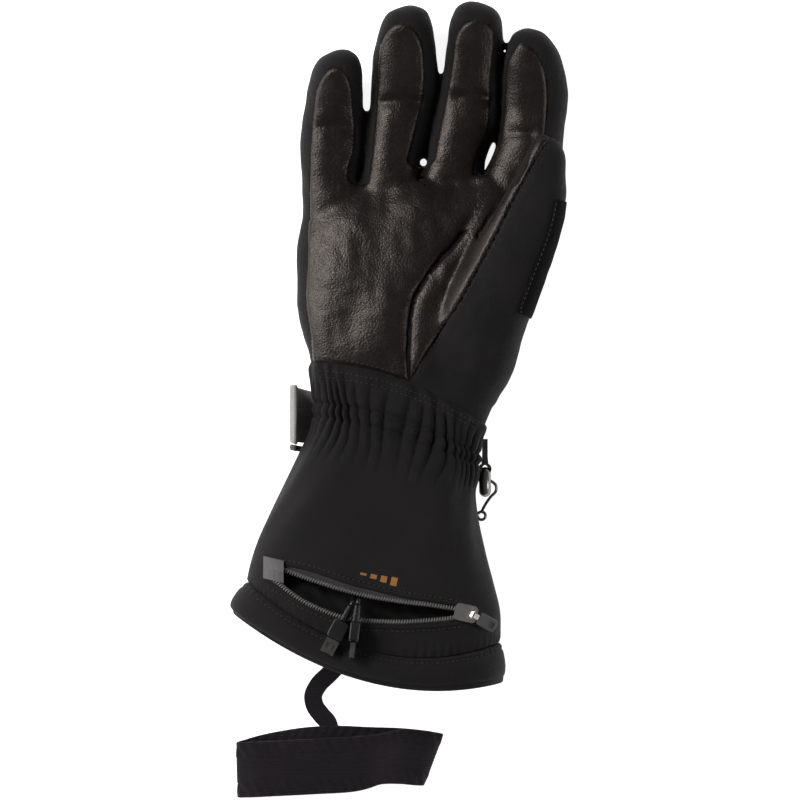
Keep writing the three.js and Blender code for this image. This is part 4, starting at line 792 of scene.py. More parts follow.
hand = one_skin("hand_softshell", hand_lofts())
face_middle = vectors_of(hand.data.polygons, "center") / MM - LAID_AT
below_seam = seam_line(face_middle[:, 0], face_middle[:, 2]) - face_middle[:, 1]
keep_faces(hand, (below_seam < TUCK - 1.5) | (face_middle[:, 1] > 12))
skin = points_of(hand)
skin_way = normals_of(hand)
swell = 0.5 * ripple(skin, 34, 11) + 0.07 * ripple(skin, 12, 12)
for line, deep, half, (low, high) in PRESSED:
    far, share = to_line(skin, from_pixels(line))
    here = (skin[:, 2] > low) & (skin[:, 2] < high) & (skin_way[:, 2] > 0)
    ends = np.clip(np.minimum(share, 1 - share) * 6 + 0.15, 0, 1)
    pressed = 0.35 * bell(far, 2.4 * half, 1.4 * half) - bell(far, 0, half)
    swell += np.where(here, deep * pressed * ends, 0)
from_seam = np.clip((skin[:, 1] - seam_line(skin[:, 0], skin[:, 2])) / SEAM_REACH, 0, 1) ** 0.7
swell = np.where(skin[:, 2] > ON_TABLE, swell * from_seam - (1 - from_seam), 0)
put_points(hand, skin + skin_way * swell[:, None])
dressed(hand, "softshell", "hand_shell", *(f"finger_{name}" for name in FINGERS))


# The leather of the palm and the four finger fronts, and the leather front of the thumb. Each is laid on
# the padded skin from above and stands off it, turned in at its edges.
LEATHER_STANDS = 0.85
LEATHER_CELL = 0.95
LEATHER_TURNED = 0.7  # how far its edges are turned in
LEATHER_DROP = 5  # a face that falls more than this would hang from the thumb
LEATHER_EASING = 6  # rounds of evening out its heights
PROBE_HIGH = 200.0  # above the whole glove
COVER_CELL = 2
COVER_CELLS = 260
SKIN_SINKS = 0.9  # under the leather
PALM_TRIM = 0.031
THUMB_SEAM = [
    (0.0335, 0.06), (0.0295, 0.211), (0.0335, 0.308), (0.0413, 0.405), (0.057, 0.478), (0.12, 0.6),
    (0.1516, 0.648), (0.199, 0.706), (0.258, 0.803), (0.317, 0.94),
]
THUMB_DIAGONAL = [
    (0.6, 1.24), (0.566, 1.2), (0.533, 1.135), (0.474, 1.0), (0.435, 0.91), (0.384, 0.779),
    (0.317, 0.624), (0.246, 0.463), (0.16, 0.299), (0.081, 0.153), (0.05, 0.08),
]
CROTCHES = [(-0.155, 1.018), (0.08, 1.106), (0.316, 1.063)]
CROTCH_HALF = 0.066


def dense(line, step=1.0, closed=False):
    """The line with a place about every step, straight between its places."""
    line = np.asarray(line, float)
    line = np.concatenate([line, line[:1]]) if closed else line
    length = lengths_along(line)
    even = np.linspace(0, length[-1], max(2, int(length[-1] / step)) + 1)
    even = even[:-1] if closed else even
    return places_at(line, length, even)


def front_outline(finger):
    """Outline of a finger's leather: inside the finger's edges by its trims, with a round top."""
    left, right, top = finger["trim"]
    reach = on_palm(finger["tip"])[1] - on_palm(finger["root"])[1]
    down = np.concatenate([np.linspace(0, 1, 14) ** 2 * 13, np.linspace(14, reach - top - 1, 50)])
    low, high, y = finger_edges(finger, (top + down) / reach)
    low, high = low + left, high - right
    round_top = np.maximum(np.sqrt(1 - (1 - np.minimum(1, down / (0.4 * finger["width"]))) ** 2), 0.05)
    middle = (low + high) / 2
    left_side = np.stack([middle + (low - middle) * round_top, y], axis=1)
    right_side = np.stack([middle + (high - middle) * round_top, y], axis=1)
    return np.concatenate([left_side, right_side[::-1]])


def inside(places, outline):
    """Which places lie inside a closed outline."""
    odd = np.zeros(len(places), bool)
    x, y = places[:, 0], places[:, 1]
    for (x1, y1), (x2, y2) in zip(outline, np.roll(outline, -1, axis=0)):
        if y1 != y2:
            odd ^= ((y1 > y) != (y2 > y)) & (x < (x2 - x1) * (y - y1) / (y2 - y1) + x1)
    return odd


def nearest(places, others):
    """Distance of each place from the nearest of the others."""
    if not len(places):
        return np.zeros(0)
    return np.sqrt(((places[:, None, :2] - others[None, :, :2]) ** 2).sum(axis=2)).min(axis=1)


def laid_on(places, target):
    """Height of the target under each place, seen from straight above. A place that misses the target
    takes its height from those listed beside it."""
    high = np.column_stack([places, np.full(len(places), PROBE_HIGH)])
    probe = piece_from("probe", high, [])
    wrap = probe.modifiers.new("wrap", "SHRINKWRAP")
    wrap.target = target
    wrap.wrap_method = "PROJECT"
    wrap.use_project_x = wrap.use_project_y = False
    wrap.use_project_z = True
    wrap.use_negative_direction = True
    wrap.use_positive_direction = False
    depsgraph = bpy.context.evaluated_depsgraph_get()
    height = vectors_of(probe.evaluated_get(depsgraph).data.vertices, "co")[:, 2] / MM
    mesh = probe.data
    bpy.data.objects.remove(probe)
    bpy.data.meshes.remove(mesh)
    hit = np.flatnonzero(height < PROBE_HIGH / 2)
    return np.interp(np.arange(len(height)), hit, height[hit])


def panel(name, outlines, base, holes, target):
    """A sheet over the outlines and over the base less its holes, laid on the target and stood off
    along its normals: low at its edge, full two millimetres in."""
    outlines = [*outlines, base]
    shapes = [dense(outline, LEATHER_CELL, True) for outline in outlines]
    cuts = [dense(hole, LEATHER_CELL, True) for hole in holes]
    borders = np.concatenate(shapes + cuts)
    low, high = borders.min(axis=0), borders.max(axis=0)
    gx, gy = np.meshgrid(*(np.arange(low[k], high[k], LEATHER_CELL) for k in (0, 1)))
    gx = gx + np.where(np.arange(gx.shape[0]) % 2, LEATHER_CELL / 2, 0)[:, None]
    grid = np.stack([gx.ravel(), gy.ravel()], axis=1)

    def covered(places):
        cut_out = np.any([inside(places, cut) for cut in cuts] + [np.zeros(len(places), bool)], axis=0)
        hits = [inside(places, shape) for shape in shapes]
        return np.any([*hits[:-1], hits[-1] & ~cut_out], axis=0)

    grid = grid[covered(grid)]
    near = np.concatenate([nearest(part, borders) for part in np.array_split(grid, 20)])
    grid = grid[near > 0.45 * LEATHER_CELL]
    places = np.concatenate([borders, grid])
    rings, start = [], 0
    for shape in shapes + cuts:
        rings += [(start + i, start + (i + 1) % len(shape)) for i in range(len(shape))]
        start += len(shape)
    made = delaunay_2d_cdt([Vector(place) for place in places.tolist()], rings, [], 0, 1e-4, False)
    flat = np.array([tuple(place) for place in made[0]])
    faces = np.array(made[2])
    height = laid_on(flat, target)
    faces = faces[covered(flat[faces].mean(axis=1)) & (np.ptp(height[faces], axis=1) < LEATHER_DROP)]
    used, renumbered = np.unique(faces, return_inverse=True)
    faces, flat, height = renumbered.reshape(-1, 3), flat[used], height[used]
    sides = np.sort(np.concatenate([faces[:, [0, 1]], faces[:, [1, 2]], faces[:, [2, 0]]]), axis=1)
    edges, times = np.unique(sides, axis=0, return_counts=True)
    rim = flat[np.unique(edges[times == 1])]
    inward = np.concatenate([nearest(part, rim) for part in np.array_split(flat, 20)])
    lowest = height - 0.3
    for _ in range(LEATHER_EASING):
        beside = sum(np.bincount(edges[:, k], height[edges[:, 1 - k]], len(flat)) for k in (0, 1))
        beside = beside / np.bincount(edges.ravel(), minlength=len(flat))
        height = np.where(inward > 0.8, np.maximum(0.4 * height + 0.6 * beside, lowest), height)
    piece = piece_from(name, np.column_stack([flat, height]), [faces])
    points, way = points_of(piece), normals_of(piece)
    way = way * np.sign(way[:, 2:3] + 1e-9)
    off = (LEATHER_STANDS + LEATHER_TURNED) * (1 - np.exp(-inward / 0.6)) - LEATHER_TURNED
    off += 0.16 * bell(inward, 1.9, 0.5) + 0.02 * ripple(points, 5, 21) * (inward > 1)
    put_points(piece, points + way * off[:, None])
    return piece


bare_hand = one_skin("bare_hand", hand_lofts()[:-1])
bare = points_of(bare_hand)
bare_way = normals_of(bare_hand)
bare_swell = 0.42 * ripple(bare, 34, 11) + 0.13 * ripple(bare, 11, 12)
for line, deep, half, limits in PRESSED[:6]:
    far, share = to_line(bare, from_pixels(line))
    ends = np.clip(np.minimum(share, 1 - share) * 6 + 0.15, 0, 1)
    bare_swell -= np.where(bare_way[:, 2] > 0, deep * bell(far, 0, half) * ends, 0)
put_points(bare_hand, bare + bare_way * bare_swell[:, None])

seam_row = cuff_row(np.float64(0))
palm_bottom = row_line(seam_row, np.linspace(-0.96, 0.06, 24)) + [0, 0.6]
palm_trim = PALM_TRIM * PALM_WIDTH
palm_side = [palm_row(share) for share in np.linspace(0.874, 0.248, 12)]
palm_outline = np.concatenate([
    palm_bottom,
    on_palm(THUMB_SEAM),
    on_palm([(0.45, 1.07), (0.52, 1.16), (-0.2, 1.14)]),
    [(row["centre"] - row["width"] / 2 + palm_trim, row["middle"] + row["slant"] / 2) for row in palm_side],
])
arc = np.linspace(0, np.pi, 13)
crotch_holes = []
for at in CROTCHES:
    base, wide = on_palm(at), CROTCH_HALF * PALM_WIDTH
    bowl = np.stack([base[0] - wide * np.cos(arc), base[1] + wide * (1 - np.sin(arc))], axis=1)
    top = on_palm((0, 1.3))[1]
    crotch_holes.append(np.concatenate([bowl, [(base[0] + wide, top), (base[0] - wide, top)]]))
fronts = [front_outline(finger) for finger in FINGERS.values()]
palm_leather = panel("palm_leather_sheet", fronts, palm_outline, crotch_holes, bare_hand)
dressed(palm_leather, "leather", "palm_leather")
thumb_outline = np.concatenate([
    on_palm(THUMB_SEAM) + [0.6, -0.3],
    on_palm([(0.46, 1.02), (0.497, 1.1), (0.51, 1.21), (0.524, 1.236)]),
    on_palm(THUMB_DIAGONAL),
])
bpy.data.objects.remove(bare_hand)
thumb_leather = panel("thumb_leather_sheet", [], thumb_outline, [], hand)
dressed(thumb_leather, "leather", "thumb_leather")


def cover_cells(points):
    """Rows and columns of the cover's cells under the points."""
    return tuple(np.round(points[:, :2] / COVER_CELL).astype(int).T + COVER_CELLS // 2)


def sunk_below(piece, sheet):
    """Draws the skin in a little where a sheet lies over it, from one cell inside the sheet's edge."""
    over = points_of(sheet)
    cover = np.full((COVER_CELLS, COVER_CELLS), np.nan)
    cover[cover_cells(over)] = over[:, 2]
    inner = np.isfinite(cover)
    for side, axis in ((1, 0), (-1, 0), (1, 1), (-1, 1)):
        inner = inner & np.isfinite(np.roll(cover, side, axis))
    skin, way = points_of(piece), normals_of(piece)
    here = cover_cells(skin)
    gap = cover[here] - skin[:, 2]
    close = inner[here] & (gap > -0.7) & (gap < 4) & (way[:, 2] > 0.2)
    put_points(piece, skin - way * np.where(close, SKIN_SINKS, 0)[:, None])


sunk_below(hand, palm_leather)
sunk_below(hand, thumb_leather)


# The brushed wipe patch on the outer side of the thumb. It is a part of the thumb's own round shape,
# drawn to the padded skin and given its thickness.
PATCH_FROM, PATCH_TO = 0.225, 0.665
PATCH_LOW, PATCH_HIGH = -0.42, 0.92


def nearest_skin(piece, target, stands):
    """Draws the piece to the target's surface and stands it off by a distance."""
    wrap = piece.modifiers.new("wrap", "SHRINKWRAP")
    wrap.target = target
    wrap.wrap_method = "NEAREST_SURFACEPOINT"
    wrap.wrap_mode = "ABOVE_SURFACE"
    wrap.offset = stands * MM
    return applied(piece)


patch_along = np.linspace(PATCH_FROM, PATCH_TO, 90)[:, None]
patch_turn = np.linspace(PATCH_LOW, PATCH_HIGH, 50)[None, :]
patch = piece_from("thumb_wipe_patch", thumb_point(patch_along, patch_turn, 2.0), grid_faces(90, 50))
nearest_skin(patch, hand, 0.6)
solid_edge = patch.modifiers.new("edge", "SOLIDIFY")
solid_edge.thickness = 0.9 * MM
solid_edge.offset = -0.6
applied(patch)
dressed(patch, "patch", "wipe_patch")


# The gauntlet: a softshell sleeve gathered by elastic at the wrist, flaring to the hem, with the slit of
# the battery pocket across its palm side, and a smooth dark lining inside.
CUFF_TURN = 520
CUFF_ROWS = 150
CUFF_WALL = 2.4
LINING_ROWS = 90
GATHERS = 21
GATHER_DEEP = 2.9
ZIP_FROM = (-64.75, -84.0)
ZIP_TURN = -0.221
ZIP_LENGTH = 100
ZIP_GAPE = 12
ZIP_COLUMNS = ("along", "fabric_up", "teeth_up", "teeth_down", "fabric_down")
ZIP_TABLE = dict(zip(ZIP_COLUMNS, np.array([
    (0, 0.25, 0.04, -0.17, -0.54),
    (0.1, 0.31, -0.02, -0.6, -0.81),
    (0.2, 0.31, -0.12, -0.92, -1.12),
    (0.3, 0.23, -0.19, -1.1, -1.28),
    (0.4, 0.14, -0.25, -1.2, -1.42),
    (0.5, 0.12, -0.27, -1.15, -1.42),
    (0.6, 0.1, -0.23, -1.02, -1.31),
    (0.7, 0.11, -0.17, -0.85, -1.15),
    (0.8, 0.17, -0.08, -0.62, -0.94),
    (0.9, 0.21, -0.02, -0.36, -0.69),
    (1, 0.25, 0.04, -0.05, -0.38),
]).T))


def zip_line(column, along, shift=0.0):
    """x and y of a zip edge at shares of its length, shifted up by millimetres."""
    along = np.asarray(along, float)
    up = through(ZIP_TABLE["along"], ZIP_TABLE[column], along) * ZIP_GAPE + shift
    reach = along * ZIP_LENGTH
    x = ZIP_FROM[0] + reach * math.cos(ZIP_TURN) - up * math.sin(ZIP_TURN)
    y = ZIP_FROM[1] + reach * math.sin(ZIP_TURN) + up * math.cos(ZIP_TURN)
    return np.stack([x, y], axis=-1)


def cuff_top(places):
    """Height of the cuff's palm side over places: the row that passes there, found by halving."""
    x, y = places[..., 0], places[..., 1]
    low, high = np.zeros(x.shape), np.ones(x.shape)
    for _ in range(22):
        share = (low + high) / 2
        row = cuff_row(share)
        across = np.clip((x - row["centre"]) / (row["width"] / 2), -0.995, 0.995)
        row_y = row["middle"] - row["slant"] * across / 2 + row["sag"] * (1 - across**2)
        low, high = np.where(row_y > y, share, low), np.where(row_y > y, high, share)
    round_up = (1 - np.abs(across) ** ROW_POWER) ** (1 / ROW_POWER)
    return row["lift"] + row["depth"] / 2 * (1 + round_up)


def on_cuff(places, stands=0.0):
    """Places on the cuff's palm side, standing off it by millimetres."""
    return np.column_stack([places, cuff_top(places) + stands])


def cuff_push(share, angle):
    """How far the cloth stands off the row: sharp gathers at the elastic, fanning folds beyond it, soft
    long folds down the sleeve."""
    wander = 0.6 * np.sin(3 * angle + 1.3) + 0.5 * np.sin(8 * angle + 0.4)
    wander = wander + 0.9 * np.sin(13 * share + 5 * angle)
    fold = np.abs(np.sin(GATHERS * angle + wander))
    gathered = bell(share, 0.185, 0.05) + 0.6 * bell(share, 0.1, 0.045) + 0.55 * bell(share, 0.27, 0.07)
    uneven = 1 + 0.3 * np.sin(6 * angle + 0.7) + 0.2 * np.sin(11 * angle + 2.1)
    sharp = (fold**0.5 - 0.7) * GATHER_DEEP * gathered * uneven
    fan = 0.7 * np.sin(GATHERS * angle + 2 * wander) * bell(share, 0.04, 0.04)
    bands = -1.3 * bell(share, 0.16, 0.012) - 1.3 * bell(share, 0.215, 0.012)
    long_folds = 0.9 * np.sin(5 * angle + 1.9 + 2 * share) * bell(share, 0.5, 0.25)
    small = 0.35 * np.sin(11 * angle + 5 * np.sin(3 * share + 1)) * bell(share, 0.45, 0.3)
    puckers = 0.22 * np.sin(70 * angle + 3 * np.sin(5 * angle)) * bell(share, 1, 0.03)
    sewn = -1.1 * bell(share, 0, 0.012) - 0.7 * bell(share, 1, 0.012)
    return sharp + fan + bands + long_folds + small + puckers + sewn


share_rows = np.linspace(0, 1, CUFF_ROWS)[:, None]
turn_columns = ((np.arange(CUFF_TURN) + 0.5) * 2 * np.pi / CUFF_TURN)[None, :]
sleeve = row_points(cuff_row(share_rows), turn_columns)
push = cuff_push(share_rows, turn_columns)
edge_way = np.stack(rounded_pair(turn_columns, 2.0), axis=-1)
sleeve[..., 0] += edge_way[..., 0] * push
sleeve[..., 2] = np.maximum(sleeve[..., 2] + edge_way[..., 1] * push * (edge_way[..., 1] > -0.5), RESTS_AT)

# the slit: cloth beside an edge is drawn to it, and the cloth between the edges is left out
from_zip = sleeve[..., :2] - ZIP_FROM
along = (from_zip[..., 0] * math.cos(ZIP_TURN) + from_zip[..., 1] * math.sin(ZIP_TURN)) / ZIP_LENGTH
rise = from_zip[..., 1] * math.cos(ZIP_TURN) - from_zip[..., 0] * math.sin(ZIP_TURN)
slit_up = through(ZIP_TABLE["along"], ZIP_TABLE["fabric_up"], np.clip(along, 0, 1)) * ZIP_GAPE
slit_down = through(ZIP_TABLE["along"], ZIP_TABLE["fabric_down"], np.clip(along, 0, 1)) * ZIP_GAPE
palm_side_up = np.sin(turn_columns) > 0.05
in_reach = palm_side_up & (along > 0.002) & (along < 0.995)
for line in (slit_up, slit_down):
    drawn = in_reach & (np.abs(rise - line) < 0.42)
    move = np.where(drawn, line - rise, 0)
    sleeve[..., 0] -= move * math.sin(ZIP_TURN)
    sleeve[..., 1] += move * math.cos(ZIP_TURN)
    rise = rise + move
open_here = in_reach & (rise <= slit_up + 0.02) & (rise >= slit_down - 0.02)
faces = grid_faces(CUFF_ROWS, CUFF_TURN, closed_columns=True)[:, ::-1]
faces = faces[~open_here.ravel()[faces].all(axis=1)]
gauntlet = piece_from("gauntlet_sleeve", sleeve, faces)
dressed(gauntlet, "softshell", "gauntlet")

lining_share = np.linspace(0.012, 1, LINING_ROWS)[:, None]
lining_rows = row_points(cuff_row(lining_share), turn_columns[:, ::4], push=-CUFF_WALL)
lining_rows += 0.25 * ripple(lining_rows.reshape(-1, 3), 17, 31).reshape(LINING_ROWS, -1, 1) * [1, 0, 0]
lining_open = open_here[:, ::4][np.linspace(0, CUFF_ROWS - 1, LINING_ROWS).astype(int)]
lining_faces = grid_faces(LINING_ROWS, CUFF_TURN // 4, closed_columns=True)
lining_faces = lining_faces[~lining_open.ravel()[lining_faces].any(axis=1)]
lining = piece_from("gauntlet_lining", lining_rows, lining_faces)
dressed(lining, "lining")


# The hem band: a turned double band with a round lower edge, puckered where it is sewn to the sleeve.
HEM_COLUMNS = ("along", "bulge", "slant", "sag", "deep")
HEM_TABLE = dict(zip(HEM_COLUMNS, np.array([
    (0, 0, 0.98, -1, 1), (0.37, 0.6, 1.03, -0.97, 1.02), (0.75, 1, 1.05, -0.9, 1.02), (1, 0.9, 1.1, -0.84, 1),
]).T))
HEM_HIGH = 16.75
HEM_WALL = 2.8
HEM_BULGE = 9
HEM_GAP = 0.6
HEM_SIDES = 440


def hem_row(share):
    """The hem band's row at a share of its height."""
    at = at_share(HEM_TABLE, share)
    return {
        "middle": SEAM_MIDDLE - CUFF_LENGTH - HEM_GAP - np.asarray(share) * HEM_HIGH,
        "centre": HEM_SHIFT - at["bulge"] * HEM_BULGE / 3,
        "width": HEM_WIDTH + at["bulge"] * HEM_BULGE,
        "slant": at["slant"] * SEAM_SLANT,
        "sag": at["sag"] * HEM_SAG,
        "depth": at["deep"] * HEM_DEPTH,
        "lift": 0.0,
    }


hem_turn = (np.arange(HEM_SIDES) + 0.5) * 2 * np.pi / HEM_SIDES
across, up = rounded_pair(hem_turn, 2.0)
pucker = np.sin(64 * hem_turn + 4 * np.sin(3 * hem_turn))
rings = []
for share in np.linspace(0, 1, 34):
    puff = 1.1 * math.sin(math.pi * min(1, share * 1.05)) ** 0.6 - 0.75 * math.exp(-share / 0.035)
    puff -= 0.55 * bell(share, 0.14, 0.035) + 0.4 * bell(share, 0.9, 0.03)
    wave = 0.3 * pucker * math.exp(-share / 0.12) + 0.25 * np.sin(9 * hem_turn + 3 * share) * share
    ring = row_points(hem_row(np.float64(share)), hem_turn)
    ring[:, 0] += across * (puff + wave)
    ring[:, 2] = np.maximum(ring[:, 2] + up * (puff + wave) * (up > -0.5), RESTS_AT)
    rings.append(ring)
for turn in np.linspace(0, np.pi, 9)[1:-1]:
    inset = -HEM_WALL / 2 * (1 - math.cos(turn))
    ring = row_points(hem_row(np.float64(1)), hem_turn, push=inset)
    ring[:, 1] -= 1.2 * math.sin(turn)
    rings.append(ring)
for share in np.linspace(1, 0, 12):
    rings.append(row_points(hem_row(np.float64(share)), hem_turn, push=-HEM_WALL))
hem_rings = np.stack(rings)
hem = piece_from("hem_turned_band", hem_rings, grid_faces(len(rings), HEM_SIDES, True, True)[:, ::-1])
dressed(hem, "softshell", "hem_band")


# The zip: two woven tapes, two rows of nylon coil, the rolled cloth edges, and the dark pocket inside.
COIL_RADIUS = 0.95
COIL_WIRE = 0.33
COIL_PITCH = 1.35
COIL_STEPS = 14  # stations in one turn
TAPE_SUNK = 0.9
zip_share = np.linspace(0.004, 0.992, 170)


def banded(rows_of_points, thick):
    """A closed flat band from its top side's grid: the underside lies that much lower."""
    under = rows_of_points[:, ::-1] - [0, 0, thick]
    return np.concatenate([rows_of_points, under], axis=1)


def strip(edge_a, shift_a, edge_b, shift_b, sunk, across=9):
    """Points of a strip between two zip edges, sunk under the cuff's surface."""
    a, b = zip_line(edge_a, zip_share, shift_a), zip_line(edge_b, zip_share, shift_b)
    way = np.linspace(0, 1, across)[None, :, None]
    places = a[:, None, :] * (1 - way) + b[:, None, :] * way
    high = cuff_top(places) - sunk + 0.3 * np.sin(np.pi * way[..., 0])
    return np.concatenate([places, high[..., None]], axis=2)


for side, way, out in (("upper", "up", 1), ("lower", "down", -1)):
    cloth, teeth = f"fabric_{way}", f"teeth_{way}"
    top = strip(cloth, 2.0 * out, teeth, 0.2 * out, TAPE_SUNK)
    ring = banded(top, 0.6)
    tape = piece_from(f"zip_tape_{side}_woven", ring, tube_faces(*ring.shape[:2]))
    dressed(tape, "zip_tape", f"zip_tape_{side}")
    line = on_cuff(zip_line(teeth, zip_share, 0.9 * out), 0.25)
    steps = int(np.linalg.norm(np.diff(line, axis=0), axis=1).sum() / COIL_PITCH * COIL_STEPS)
    core = smooth_path(line, steps)
    beside, rise_up = across_and_up(core)
    spin = np.arange(steps)[:, None] * 2 * np.pi / COIL_STEPS
    path = core + beside * np.cos(spin) * COIL_RADIUS + rise_up * np.sin(spin) * COIL_RADIUS * 0.75
    wire = swept(path, circle(COIL_WIRE, 6))
    coil = piece_from(f"zip_coil_{side}_wound", wire, tube_faces(steps, 6))
    dressed(coil, "zip_coil", f"zip_coil_{side}")
    roll = on_cuff(zip_line(cloth, zip_share, 0.35 * out), -0.35)
    rolled = swept(smooth_path(roll, 260), circle(0.85, 10) * [1.3, 1.0])
    fold = piece_from(f"pocket_edge_{side}", rolled, tube_faces(260, 10))
    dressed(fold, "softshell")

tray_way = np.linspace(0, 1, 30)[None, :, None]
tray_share = np.linspace(0.01, 0.985, 80)
tray_low, tray_far = zip_line("fabric_down", tray_share, -1.5), zip_line("fabric_up", tray_share, 17.0)
tray = tray_low[:, None, :] * (1 - tray_way) + tray_far[:, None, :] * tray_way
belly = np.sin(np.pi * np.linspace(0, 1, 30)) ** 0.55 * (np.sin(np.pi * tray_share) ** 0.35)[:, None]
tray_high = cuff_top(tray) - 3.2 - 6.2 * belly
tray_points = np.concatenate([tray, tray_high[..., None]], axis=2)
tray_points[..., 2] += 0.3 * ripple(tray_points.reshape(-1, 3), 9, 41).reshape(tray_high.shape)
pocket = piece_from("pocket_lining", tray_points, grid_faces(80, 30)[:, ::-1])
dressed(pocket, "lining", "pocket_bag")


# The grey coated strap round the back of the wrist with its dark end trim, and the webbing loop at the
# thumb side that holds the oval ring.
STRAP_THICK = 1.8
STRAP_TABLE = np.array([
    (-1.215, 0.66), (-1.265, 0.47), (-1.25, 0.25), (-1.12, 0.08), (-0.86, 0), (-0.4, 0), (0, 0), (0.4, 0),
    (0.8, 0), (0.94, 0.03),
])
STRAP_WIDTHS = (30, 16)
STRAP_TURN = 0.66
TRIM_WIDTH = 3
wrist = cuff_row(np.float64(CUFF_TABLE["along"][2]))


def strap_middle(x):
    """y of the strap's middle line at x."""
    return wrist["middle"] - STRAP_TURN * wrist["slant"] * (x - wrist["centre"]) / wrist["width"]


def band_section(across, edge):
    """A flat section with round edges: share of the half width, bulge beyond it, and which side."""
    spin = np.linspace(0, np.pi, edge)[1:-1]
    flat = np.linspace(1, -1, across)
    width = np.concatenate([flat, -1 - 0 * spin, -flat, 1 + 0 * spin])
    bulge = np.concatenate([0 * flat, -np.sin(spin), 0 * flat, np.sin(spin)])
    side = np.concatenate([1 + 0 * flat, np.cos(spin), -1 + 0 * flat, -np.cos(spin)])
    return width, bulge, side


def round_band(path, half_widths, thick, up, across=14):
    """A band with round edges along a path: rows of points, its width along `up` at each station."""
    width, bulge, side = band_section(across, 8)
    wide = unit(up)
    out = unit(np.cross(unit(np.gradient(path, axis=0)), wide))
    reach = half_widths[:, None] * width + bulge * thick / 2
    stand = out[:, None, :] * (side * thick / 2)[:, None]
    return path[:, None, :] + wide[:, None, :] * reach[..., None] + stand


strap_xz = smooth_path(np.column_stack([
    wrist["centre"] + STRAP_TABLE[:, 0] * WRIST_WIDTH / 2,
    STRAP_THICK / 2 + STRAP_TABLE[:, 1] * WRIST_DEPTH,
]), 150)
strap_path = np.column_stack([strap_xz[:, 0], strap_middle(strap_xz[:, 0]), strap_xz[:, 1]])
upright_way = np.broadcast_to([0.0, 1.0, 0.0], strap_path.shape)
halves = np.linspace(STRAP_WIDTHS[0], STRAP_WIDTHS[1], len(strap_path)) / 2 - STRAP_THICK / 2
strap_rings = round_band(strap_path, halves, STRAP_THICK, upright_way)
strap_rings[..., 2] = np.maximum(strap_rings[..., 2], RESTS_AT)
strap = piece_from("wrist_strap_band", strap_rings, tube_faces(*strap_rings.shape[:2]))
dressed(strap, "grey_strap", "wrist_strap")
trim_path = strap_path[:58] - [0, STRAP_WIDTHS[0] / 2 + TRIM_WIDTH / 2 + 0.3, 0]
trim_rings = round_band(trim_path, np.full(58, TRIM_WIDTH / 2 - 0.9), STRAP_THICK, upright_way[:58])
trim_rings[..., 2] = np.maximum(trim_rings[..., 2], RESTS_AT)
trim = piece_from("strap_trim_edge", trim_rings, tube_faces(*trim_rings.shape[:2]))
dressed(trim, "zip_tape", "strap_trim")


# The leash: a woven ribbon from inside the hem, sewn with a bar tack to a soft elastic wrist loop that
# lies flat with a fold at its thumb side.
HEM_LEFT = (-83.5, -119.1)
RIBBON_HIGH = 3.55
RIBBON_LOW = 0.45
RIBBON_ROUTE = np.array([
    (59, 6.8, RIBBON_HIGH), (57, -0.2, RIBBON_HIGH), (55, -7.7, RIBBON_HIGH), (52, -14.2, 2.4),
    (47.5, -19.2, 1), (42.5, -24.2, RIBBON_LOW), (39.7, -30.2, RIBBON_LOW), (40.5, -34.7, RIBBON_LOW),
    (44, -39.7, RIBBON_LOW), (47, -43.2, RIBBON_LOW), (48.2, -47.7, RIBBON_LOW), (48.7, -53.2, RIBBON_LOW),
])
LOOP_LONG = 98
LOOP_BAND = 28
LOOP_THICK = 1.4
LOOP_DROP = 67.5  # from the hem's left corner to the loop
LOOP_TABLE = np.array([  # along, height, offset, turn
    (0.0, 4.2, 0.5, -0.03), (0.03, 1.3, 1.5, 0), (0.1, 0.7, 3.5, 0), (0.25, 0.9, 6.5, 0), (0.36, 1.8, 8, 0),
    (0.45, 2.1, 8.5, 0), (0.54, 1.8, 8.6, 0), (0.66, 0.9, 8, 0.05), (0.82, 0.7, 7.5, 0.15),
    (0.94, 1.6, 6.5, 0.28), (1.0, 6, 5.7, 0.36), (0.95, 10.4, 6.3, 0.3), (0.85, 11.6, 7.5, 0.16),
    (0.77, 10, 7, 0.24), (0.7, 8.4, 5, 0.2), (0.6, 8.8, 3.6, 0.05), (0.4, 9.2, 2.4, 0), (0.2, 8.8, 1.4, 0),
    (0.06, 7.4, 0.7, -0.03),
])
ribbon_path = smooth_path(RIBBON_ROUTE + [*HEM_LEFT, 0], 90)
level_up = unit(np.cross([0.0, 0.0, 1.0], np.gradient(ribbon_path, axis=0)))
ribbon_rings = round_band(ribbon_path, np.full(90, 4.1), 0.9, level_up, across=10)
ribbon_rings[..., 2] = np.maximum(ribbon_rings[..., 2], RESTS_AT)
ribbon = piece_from("leash_ribbon_woven", ribbon_rings, tube_faces(*ribbon_rings.shape[:2])[:1])
dressed(ribbon, "elastic", "leash_ribbon")

around = np.concatenate([LOOP_TABLE, LOOP_TABLE[:1]])
loop_steps = np.hypot(*np.diff(around[:, :2] * [LOOP_LONG, 1], axis=0).T) + 1.5
loop_knots = np.concatenate([[0], np.cumsum(loop_steps)])
lap = loop_knots[-1]
wide_knots = np.concatenate([loop_knots[-5:-1] - lap, loop_knots, loop_knots[1:5] + lap])
wide_values = np.concatenate([around[-5:-1], around, around[1:5]])
loop_at = np.linspace(0, lap, 361)[:-1]
loop_row = np.stack([through(wide_knots, wide_values[:, k], loop_at) for k in range(4)], axis=1)
loop_x = HEM_LEFT[0] + 2 + loop_row[:, 0] * LOOP_LONG
loop_y = HEM_LEFT[1] - LOOP_DROP + loop_row[:, 2]
loop_z = loop_row[:, 1]
loop_xz = np.stack([loop_x, loop_z], axis=1)
loop_way = unit(np.roll(loop_xz, -1, axis=0) - np.roll(loop_xz, 1, axis=0))
band_wide, band_bulge, band_side = band_section(30, 7)
band_across = band_wide * (LOOP_BAND - LOOP_THICK) / 2 + band_bulge * LOOP_THICK / 2
